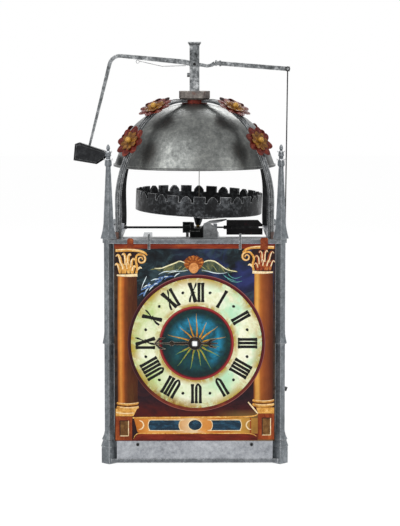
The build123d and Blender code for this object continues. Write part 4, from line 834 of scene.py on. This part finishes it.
def paint_capitals():
    """Leafy capitals with one volute each, towards the middle of the dial."""
    gilt, dark, pale, red = (bmesh.new() for _ in range(4))
    for flip, foot_x, foot_z, vx, vz, body in ((1, -67.0, 192.4, -53.4, 207.2, gilt),
                                               (-1, 67.4, 195.4, 51.6, 209.8, red)):
        def at(*points):
            """Points given from the capital's foot, mirrored on the right-hand one."""
            return [(foot_x + x * flip, foot_z + z, *width) for x, z, *width in points]

        patch(dark, at((-10.8, 0), (9.4, 0), (13.6, 12), (10, 22), (-12.2, 23.6)), 0.1)
        stroke(gilt, at((-11.8, 23.8, 3.0), (2, 24.2, 3.0), (11.5, 23.4, 2.6), (17, 21.4, 2.2),
                        (19.6, 19.0, 1.0)), 0.55, 0.1)
        stroke(pale, at((-11.4, 24.5, 0.8), (2, 24.9, 0.9), (12, 24.0, 0.7)), 0.12, 0.62)
        curl = spiral(vx, vz, 1.9 if flip > 0 else math.pi - 1.9, 1.35, 5.2, 1.2, 2.4, 1.2, flip > 0)
        stroke(gilt, curl, 0.6, 0.1, steps=3)
        stroke(pale, [(x, z, w * 0.28) for x, z, w in curl[2:-4]], 0.12, 0.66, steps=3)
        stroke(gilt, at((8.6, 1.0, 2.4), (9.6, 7.0, 2.2), (8.4, 13.0, 2.2))
               + [(vx - 4.6 * flip, vz + 3.6, 2.0), (vx - 1.6 * flip, vz + 5.2, 2.2)], 0.55, 0.1)
        for k, (base, tip_x, tip_z, curl_by) in enumerate(LEAVES):
            line = at((base, 0.8, 1.8), (0.6 * base + 0.4 * tip_x - 0.3 * curl_by, 0.45 * tip_z, 3.2),
                      (tip_x - 0.35 * curl_by, 0.84 * tip_z, 3.0),
                      (tip_x + 0.35 * curl_by, tip_z, 2.0),
                      (tip_x + 0.95 * curl_by, tip_z - 1.6, 1.2))
            level = 0.1 + 0.12 * (k // 4)
            stroke(dark, [(x + 0.7 * flip, z, w + 0.9) for x, z, w in line], 0.3, level - 0.05)
            stroke(body, line, 0.42, level)
            stroke(pale, [(x - 0.6 * flip, z, w * 0.36) for x, z, w in line[1:]], 0.12, level + 0.36)
        stroke(pale, at((-10.6, -1.0, 1.6), (0, -1.4, 2.6), (9.8, -0.8, 3.0)), 0.7, 0.1)
        stroke(pale, at((9.4, 3.4, 0.8), (12.0, 6.6, 2.2), (14.4, 6.0, 0.6)), 0.5, 0.1)
    dial_piece("dial_capitals_shadow", dark, "shadow_paint")
    dial_piece("dial_capitals", gilt, "gilt_paint")
    dial_piece("dial_capital_leaves_red", red, "leaf_brown")
    dial_piece("dial_capitals_light", pale, "pale_gilt")


def paint_top_band():
    """Band under the rail, and the plate's two ears that rise in front of the rail."""
    shape = bmesh.new()
    patch(shape, [(-80.0, 218.1), (80.0, 218.1), (80.0, 222.4), (-80.0, 222.4)], 0.16)
    stroke(shape, [(-80, 220.3, 3.0), (0, 220.5, 3.2), (79.9, 220.0, 3.0)], 0.2, 0.1)
    dial_piece("dial_top_band", shape, "top_red")
    ears = bmesh.new()
    for left, right, low, high in ((-67.2, -61.0, 219.0, 228.4), (65.4, 73.0, 217.0, 229.0)):
        outline = [(left, low), (right, low), (right, high - 1.2), (right - 1.4, high),
                   (left + 1.4, high), (left, high - 1.2)]
        patch(ears, outline, 0.8)
    dial_piece("dial_ears", ears, "ear_paint")


def paint_wings():
    """Feathered wings of the head over the ring."""
    fill, edge, feather = bmesh.new(), bmesh.new(), bmesh.new()
    wings = (([(-7.5, 202.8), (-10.2, 204.0), (-15, 205.4), (-20.4, 203.2), (-27.6, 200.5),
          (-33.7, 198.3), (-40.0, 198.4), (-37.0, 196.2), (-31.0, 194.0), (-24.0, 193.6),
          (-15.0, 194.2), (-8.0, 195.2)]),
        ([(6.5, 202.6), (9.0, 204.4), (13.4, 206.0), (19.4, 205.4), (25.2, 201.8),
          (32.4, 197.0), (41.6, 195.0), (36.0, 193.8), (28.6, 193.2), (20.0, 193.8),
          (12.0, 194.6), (7.0, 195.2)]))
    for outline in wings:
        patch(fill, outline, 0.14)
        top = outline[:7]
        stroke(edge, [(x, z, 0.6 + 0.7 * math.sin(math.pi * i / 6)) for i, (x, z)
                      in enumerate(top)], 0.3, 0.12)
        sign = -1 if outline[0][0] < 0 else 1
        for k in range(9):
            a, b = top[min(k, 5)], outline[-1 - min(k, 4)]
            x0 = a[0] * 0.55 + b[0] * 0.45 + sign * 1.3 * k / 3
            stroke(feather, [(x0, a[1] * 0.6 + b[1] * 0.4 + 0.6, 0.3),
                             (x0 + sign * 2.4, a[1] * 0.4 + b[1] * 0.6 + 0.6, 0.9),
                             (x0 + sign * 5.4, b[1] + 0.9, 0.3)], 0.16, 0.14, steps=4)
    dial_piece("dial_wings", fill, "wing_fill")
    dial_piece("dial_wing_edges", edge, "wing_edge")
    dial_piece("dial_feathers", feather, "wing_feather")


def paint_hair():
    hair, light = bmesh.new(), bmesh.new()
    patch(hair, oval(-1.2, 203.4, 9.6, 7.4, 30), 0.2)
    for k in range(26):
        a = -1.9 + 3.8 * k / 25
        r = 8.8 + draws.uniform(-0.9, 1.3)
        x, z = -1.2 + r * math.sin(a), 202.0 + (r - 0.8) * math.cos(a)
        swirl = draws.choice((-1, 1))
        bend_z = (z - BROW_Z) * 0.85 + BROW_Z
        lock = [(x * 0.6 - 0.5, (z - BROW_Z) * 0.6 + BROW_Z, 1.6),
                (x * 0.85, z * 0.2 + 0.8 * bend_z, 1.8), (x + swirl * 0.8, z, 1.2),
                (x + swirl * 1.5, z + 0.4, 0.3)]
        stroke(hair if k % 3 else light, lock, 0.34 + 0.1 * (k % 2), 0.15, steps=4)
    dial_piece("dial_hair", hair, "hair_paint")
    dial_piece("dial_hair_light", light, "hair_light")


def paint_face():
    face = bmesh.new()
    ring(face, [(4.8, 0.1), (4.8, 0.4), (4.4, 0.58), (3.6, 0.7), (2.2, 0.78), (0.8, 0.8)],
         (-0.9, 198.6), 40, 1.1)
    bmesh.ops.contextual_create(face, geom=[e for e in face.edges if e.is_boundary])
    dial_piece("dial_face", face, "skin_paint")
    lines = bmesh.new()
    for side in (-1, 1):
        x = -0.9 + side * 2.1
        stroke(lines, [(x - 0.9, 199.0, 0.16), (x, 199.3, 0.36), (x + 0.9, 199.0, 0.16)], 0.1,
               0.74, steps=4)
        stroke(lines, [(x - 1.0, 200.3, 0.14), (x, 200.7, 0.26), (x + 1.0, 200.3, 0.14)], 0.1,
               0.7, steps=4)
    stroke(lines, [(-0.8, 198.8, 0.14), (-0.6, 197.4, 0.26), (-1.1, 197.2, 0.2)], 0.1, 0.76, 4)
    stroke(lines, [(-2.2, 196.1, 0.14), (-0.9, 195.9, 0.42), (0.4, 196.1, 0.14)], 0.1, 0.68, 4)
    dial_piece("dial_face_lines", lines, "skin_line")


def paint_clouds():
    """Loose strokes of cloud: blue and white on the left of the ring, teal on the right."""
    blue, white, teal = bmesh.new(), bmesh.new(), bmesh.new()
    for k in range(26):
        t = draws.random()
        a = math.radians(-48 + 34 * t)
        r = 71.4 + draws.uniform(0.0, 5.5 * math.sin(math.pi * min(1.0, t + 0.2)))
        tilt = draws.uniform(-0.5, 0.35)
        x, z = DIAL_X + r * math.sin(a), DIAL_Z + r * math.cos(a)
        along = Vector((math.cos(a + tilt), -math.sin(a + tilt)))
        reach = draws.uniform(2.4, 4.6)
        line = [(x - along.x * reach, z - along.y * reach, 0.3),
                (x - along.x * 0.3 * reach, z - along.y * 0.3 * reach + 0.7, 1.1),
                (x + along.x * 0.5 * reach, z + along.y * 0.5 * reach + 0.3, 0.9),
                (x + along.x * reach, z + along.y * reach, 0.2)]
        stroke(white if k % 4 == 0 else blue, line, 0.18, 0.08 + 0.06 * (k % 3))
    for points in ([(-48, 190.4, 0.3), (-50, 186.0, 1.0), (-52, 181.6, 0.6), (-53.2, 176.6, 0.2)],
                   [(-36, 192.2, 0.3), (-30, 195.0, 0.9), (-24, 195.4, 0.7), (-16, 197.0, 0.3)],
                   [(-26.5, 193.4, 0.3), (-20, 195.0, 0.8), (-12, 195.6, 0.6), (-6.5, 196.6, 0.3)],
                   [(7, 196.6, 0.3), (13, 195.4, 0.8), (20, 193.6, 0.9), (27, 193.2, 0.6),
                    (32.5, 194.2, 0.3)]):
        stroke(white, points, 0.18, 0.1)
    for points in ([(28, 192.6, 0.3), (31, 189.6, 0.8), (36, 187.2, 0.7), (41, 185.6, 0.3)],
                   [(33, 193.6, 0.3), (35.6, 190.2, 0.8), (40.6, 188.2, 0.6), (47, 190.2, 0.2)],
                   [(36, 185.4, 0.3), (42, 184.4, 0.7), (47.4, 185.6, 0.2)],
                   [(30.4, 191.0, 0.3), (33.6, 187.4, 0.6), (38.6, 184.6, 0.3)]):
        stroke(teal, points, 0.18, 0.08)
    dial_piece("dial_clouds", blue, "cloud_blue")
    dial_piece("dial_cloud_lights", white, "cloud_white")
    dial_piece("dial_cloud_teal", teal, "cloud_teal")


paint_rings()
paint_numerals()
paint_rays()
paint_columns()
paint_bases()
paint_pedestals()
paint_plinth()
paint_capitals()
paint_top_band()
paint_wings()
paint_hair()
paint_face()
paint_clouds()


# Rosettes: the leaves are rebuilt round each rivet


def islands(name):
    """The separate solids of a CAD node, as lists of points, in the mesh's order."""
    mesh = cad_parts[name].data
    shape = bmesh.new()
    shape.from_mesh(mesh)
    bmesh.ops.remove_doubles(shape, verts=shape.verts, dist=1e-6)
    left = dict.fromkeys(shape.verts)
    found = []
    while left:
        first = next(iter(left))
        del left[first]
        todo, group = [first], []
        while todo:
            vert = todo.pop()
            group.append(vert.co.copy())
            for edge in vert.link_edges:
                other = edge.other_vert(vert)
                if other in left:
                    del left[other]
                    todo.append(other)
        found.append(group)
    shape.free()
    return found


def centre_of(points):
    low = Vector(min(p[i] for p in points) for i in range(3))
    high = Vector(max(p[i] for p in points) for i in range(3))
    return (low + high) / 2


def thinnest_axis(points):
    """The direction in which a disc of points is thinnest, pointing away from the bell."""
    centre = sum(points, Vector()) / len(points)
    outward = Vector((centre.x, centre.y, 0)).normalized()
    best = None
    for k in range(91):
        a = math.radians(k)
        axis = outward * math.cos(a) + Vector((0, 0, math.sin(a)))
        reach = [p.dot(axis) for p in points]
        size = max(reach) - min(reach)
        if best is None or size < best[0]:
            best = (size, axis, (max(reach) + min(reach)) / 2)
    return best


def rosette(shape, turn, centre, petals, r_in, r_out, rise, cup, thick, twist):
    """A disc of grooved petals with turned-up tips, about the z axis of turn."""
    around, out = petals * 14, 11
    grid = []
    for i in range(out + 1):
        s = i / out
        row = []
        for k in range(around):
            a = 2 * math.pi * k / around + twist
            wave = 0.5 + 0.5 * math.cos(petals * (a - twist))
            rim = r_out * (0.74 + 0.26 * wave ** 0.55)
            r = r_in + (rim - r_in) * s
            bowl = cup * s ** 2.2 + rise * math.sin(math.pi * min(s * 1.05, 1)) * wave
            groove = -0.35 * (1 - wave) * s
            rib = 0.28 * max(0.0, math.cos(petals * (a - twist))) ** 14 * (1 - s) * 1.4
            row.append((r, a, bowl + groove + rib))
        grid.append(row)
    sides = []
    for drop in (0.0, -thick):
        sides.append([[turn @ Vector((r * math.cos(a), r * math.sin(a), h + drop)) * MM + centre
                       for r, a, h in row] for row in grid])
    top, under = sides
    sheet_of(shape, [under[0], *top, *reversed(under)], capped=False)


def build_rosettes():
    outer, inner = bmesh.new(), bmesh.new()
    rivets = islands("rosette_rivets")
    backs = islands("rosette_outer_leaves")
    for n, points in enumerate(rivets):
        middle = centre_of(points)
        disc = min(backs, key=lambda g: (centre_of(g) - middle).length)
        size, axis, level = thinnest_axis(disc)
        spread = max((p - axis * p.dot(axis)
                      - (middle - axis * middle.dot(axis))).length for p in disc) / MM
        turn = axis.to_track_quat("Z", "Y").to_matrix()
        base = middle - axis * middle.dot(axis) + axis * (level - size / 2)
        rosette(outer, turn, base, 8, 1.2, spread, 0.9, 1.3, 0.5, 0.2 * n)
        rosette(inner, turn, base + axis * 1.15 * MM, 8, 0.8, spread * 0.63, 0.8, 1.2, 0.4,
                0.2 * n + math.pi / 8)
    leaf_red = paint("rosette_red", "2e0c0a", "5c1a12", "98442e", scale=260, rough=0.45,
                     craze=0.5, grime=0.45)
    leaf_gold = paint("rosette_gold", "34200e", "744a1e", "b98a3e", scale=260, rough=0.42,
                      craze=0.5, grime=0.4)
    button = paint("rosette_button", "7a5420", "b98a3c", "e2bf74", scale=300, rough=0.35, grime=0.25)
    made = finished("rosette_outer", outer, leaf_red, sharp=50)
    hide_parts("rosette_outer_leaves")
    made = finished("rosette_inner", inner, leaf_gold, sharp=50)
    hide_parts("rosette_inner_leaves")
    dressed(button, "rosette_rivets")


build_rosettes()


# Leaves on the two front pinnacles


def curled_leaf(shape, foot, heading, length, wide, rise, curl):
    """A small forged leaf that leaves the stem, climbs and rolls over at its tip."""
    out = Vector((math.cos(heading), math.sin(heading), 0))
    side = Vector((-out.y, out.x, 0))
    rows = []
    for k in range(9):
        t = k / 8
        reach = length * math.sin(math.pi * 0.62 * t) / math.sin(math.pi * 0.62)
        climb = rise * math.sin(math.pi * 0.72 * t)
        drop = -curl * max(0.0, t - 0.6) ** 1.4 * 6
        half = wide / 2 * (0.5 + 0.9 * math.sin(math.pi * (0.15 + 0.8 * t))) * (1 - 0.65 * t ** 4)
        thick = 0.75 - 0.35 * t
        centre = foot + out * reach + Vector((0, 0, climb + drop))
        row = []
        for u, up in ((-1, 0.25), (-0.5, 0.55), (0, 0.15), (0.5, 0.55), (1, 0.25), (0.6, -0.4),
                      (0, -0.65), (-0.6, -0.4)):
            row.append((centre + side * half * u + Vector((0, 0, up * thick))) * MM)
        rows.append(row)
    sheet_of(shape, rows)


def build_finials():
    shape = bmesh.new()
    for x in (-PINNACLE_X, PINNACLE_X):
        for z, length, wide in ((302.6, 4.3, 3.4), (310.4, 3.6, 2.9)):
            for k in range(4):
                curled_leaf(shape, Vector((x, PINNACLE_Y, z)), math.pi / 2 * k, length, wide,
                            rise=4.6, curl=0.7)
    finished("pinnacle_leaves", shape, irons["pillar_iron"], sharp=60)


build_finials()


# Floor, light, camera


def seen(tree):
    """1 for rays from the camera and for reflections and clear glass."""
    path = tree.nodes.new("ShaderNodeLightPath")
    total = path.outputs["Is Camera Ray"]
    for name in ("Is Glossy Ray", "Is Transmission Ray"):
        add = tree.nodes.new("ShaderNodeMath")
        add.operation = "MAXIMUM"
        tree.links.new(total, add.inputs[0])
        tree.links.new(path.outputs[name], add.inputs[1])
        total = add.outputs[0]
    return total


def build_floor():
    half = 6.0
    mesh = bpy.data.meshes.new("floor")
    mesh.from_pydata([(-half, -half, 0), (half, -half, 0), (half, half, 0), (-half, half, 0)],
                     [], [(0, 1, 2, 3)])
    floor = added("floor", mesh)
    floor.location.z = cad_box[0].z
    mat = bpy.data.materials.new("pale_floor")
    mat.use_nodes = True
    tree = mat.node_tree
    tree.nodes.clear()
    out = tree.nodes.new("ShaderNodeOutputMaterial")
    plain = tree.nodes.new("ShaderNodeBsdfDiffuse")
    plain.inputs["Color"].default_value = (0.8, 0.8, 0.8, 1)
    shadow = tree.nodes.new("ShaderNodeBsdfDiffuse")
    shadow.inputs["Color"].default_value = (0.12, 0.12, 0.12, 1)
    glow = tree.nodes.new("ShaderNodeEmission")
    glow.inputs["Color"].default_value = (0.93, 0.93, 0.93, 1)
    both = tree.nodes.new("ShaderNodeAddShader")
    tree.links.new(shadow.outputs[0], both.inputs[0])
    tree.links.new(glow.outputs[0], both.inputs[1])
    pick = tree.nodes.new("ShaderNodeMixShader")
    tree.links.new(seen(tree), pick.inputs[0])
    tree.links.new(plain.outputs[0], pick.inputs[1])
    tree.links.new(both.outputs[0], pick.inputs[2])
    tree.links.new(pick.outputs[0], out.inputs["Surface"])
    mesh.materials.append(mat)


def build_world():
    world = bpy.data.worlds.new("studio")
    bpy.context.scene.world = world
    world.use_nodes = True
    tree = world.node_tree
    back = tree.nodes["Background"]
    back.inputs["Color"].default_value = (1, 1, 1, 1)
    level = tree.nodes.new("ShaderNodeMapRange")
    tree.links.new(seen(tree), level.inputs["Value"])
    level.inputs["To Min"].default_value = 0.5
    level.inputs["To Max"].default_value = 1.0
    tree.links.new(level.outputs["Result"], back.inputs["Strength"])


def aimed(name, data, place, aim):
    made = added(name, data)
    made.location = place
    made.rotation_euler = (Vector(aim) - Vector(place)).to_track_quat("-Z", "Y").to_euler()
    return made


def area_light(name, place, size, power):
    data = bpy.data.lights.new(name, "AREA")
    data.shape = "RECTANGLE"
    data.size, data.size_y = size
    data.energy = power
    aimed(name, data, place, LAMP_AIM)


def build_camera():
    data = bpy.data.cameras.new("camera")
    data.sensor_width = 36.0
    data.lens = 134.48
    bpy.context.scene.camera = aimed("camera", data, (-0.004, -2.040, 0.410), (0.0053, -0.086, 0.203))


build_floor()
build_world()
area_light("key", (-0.9, -1.5, 1.3), size=(1.5, 1.5), power=24)
area_light("fill", (1.4, -1.2, 0.7), size=(1.0, 1.2), power=9)
area_light("back", (0.2, 1.6, 1.5), size=(1.2, 0.8), power=14)
build_camera()
bpy.context.scene.view_settings.view_transform = "Standard"
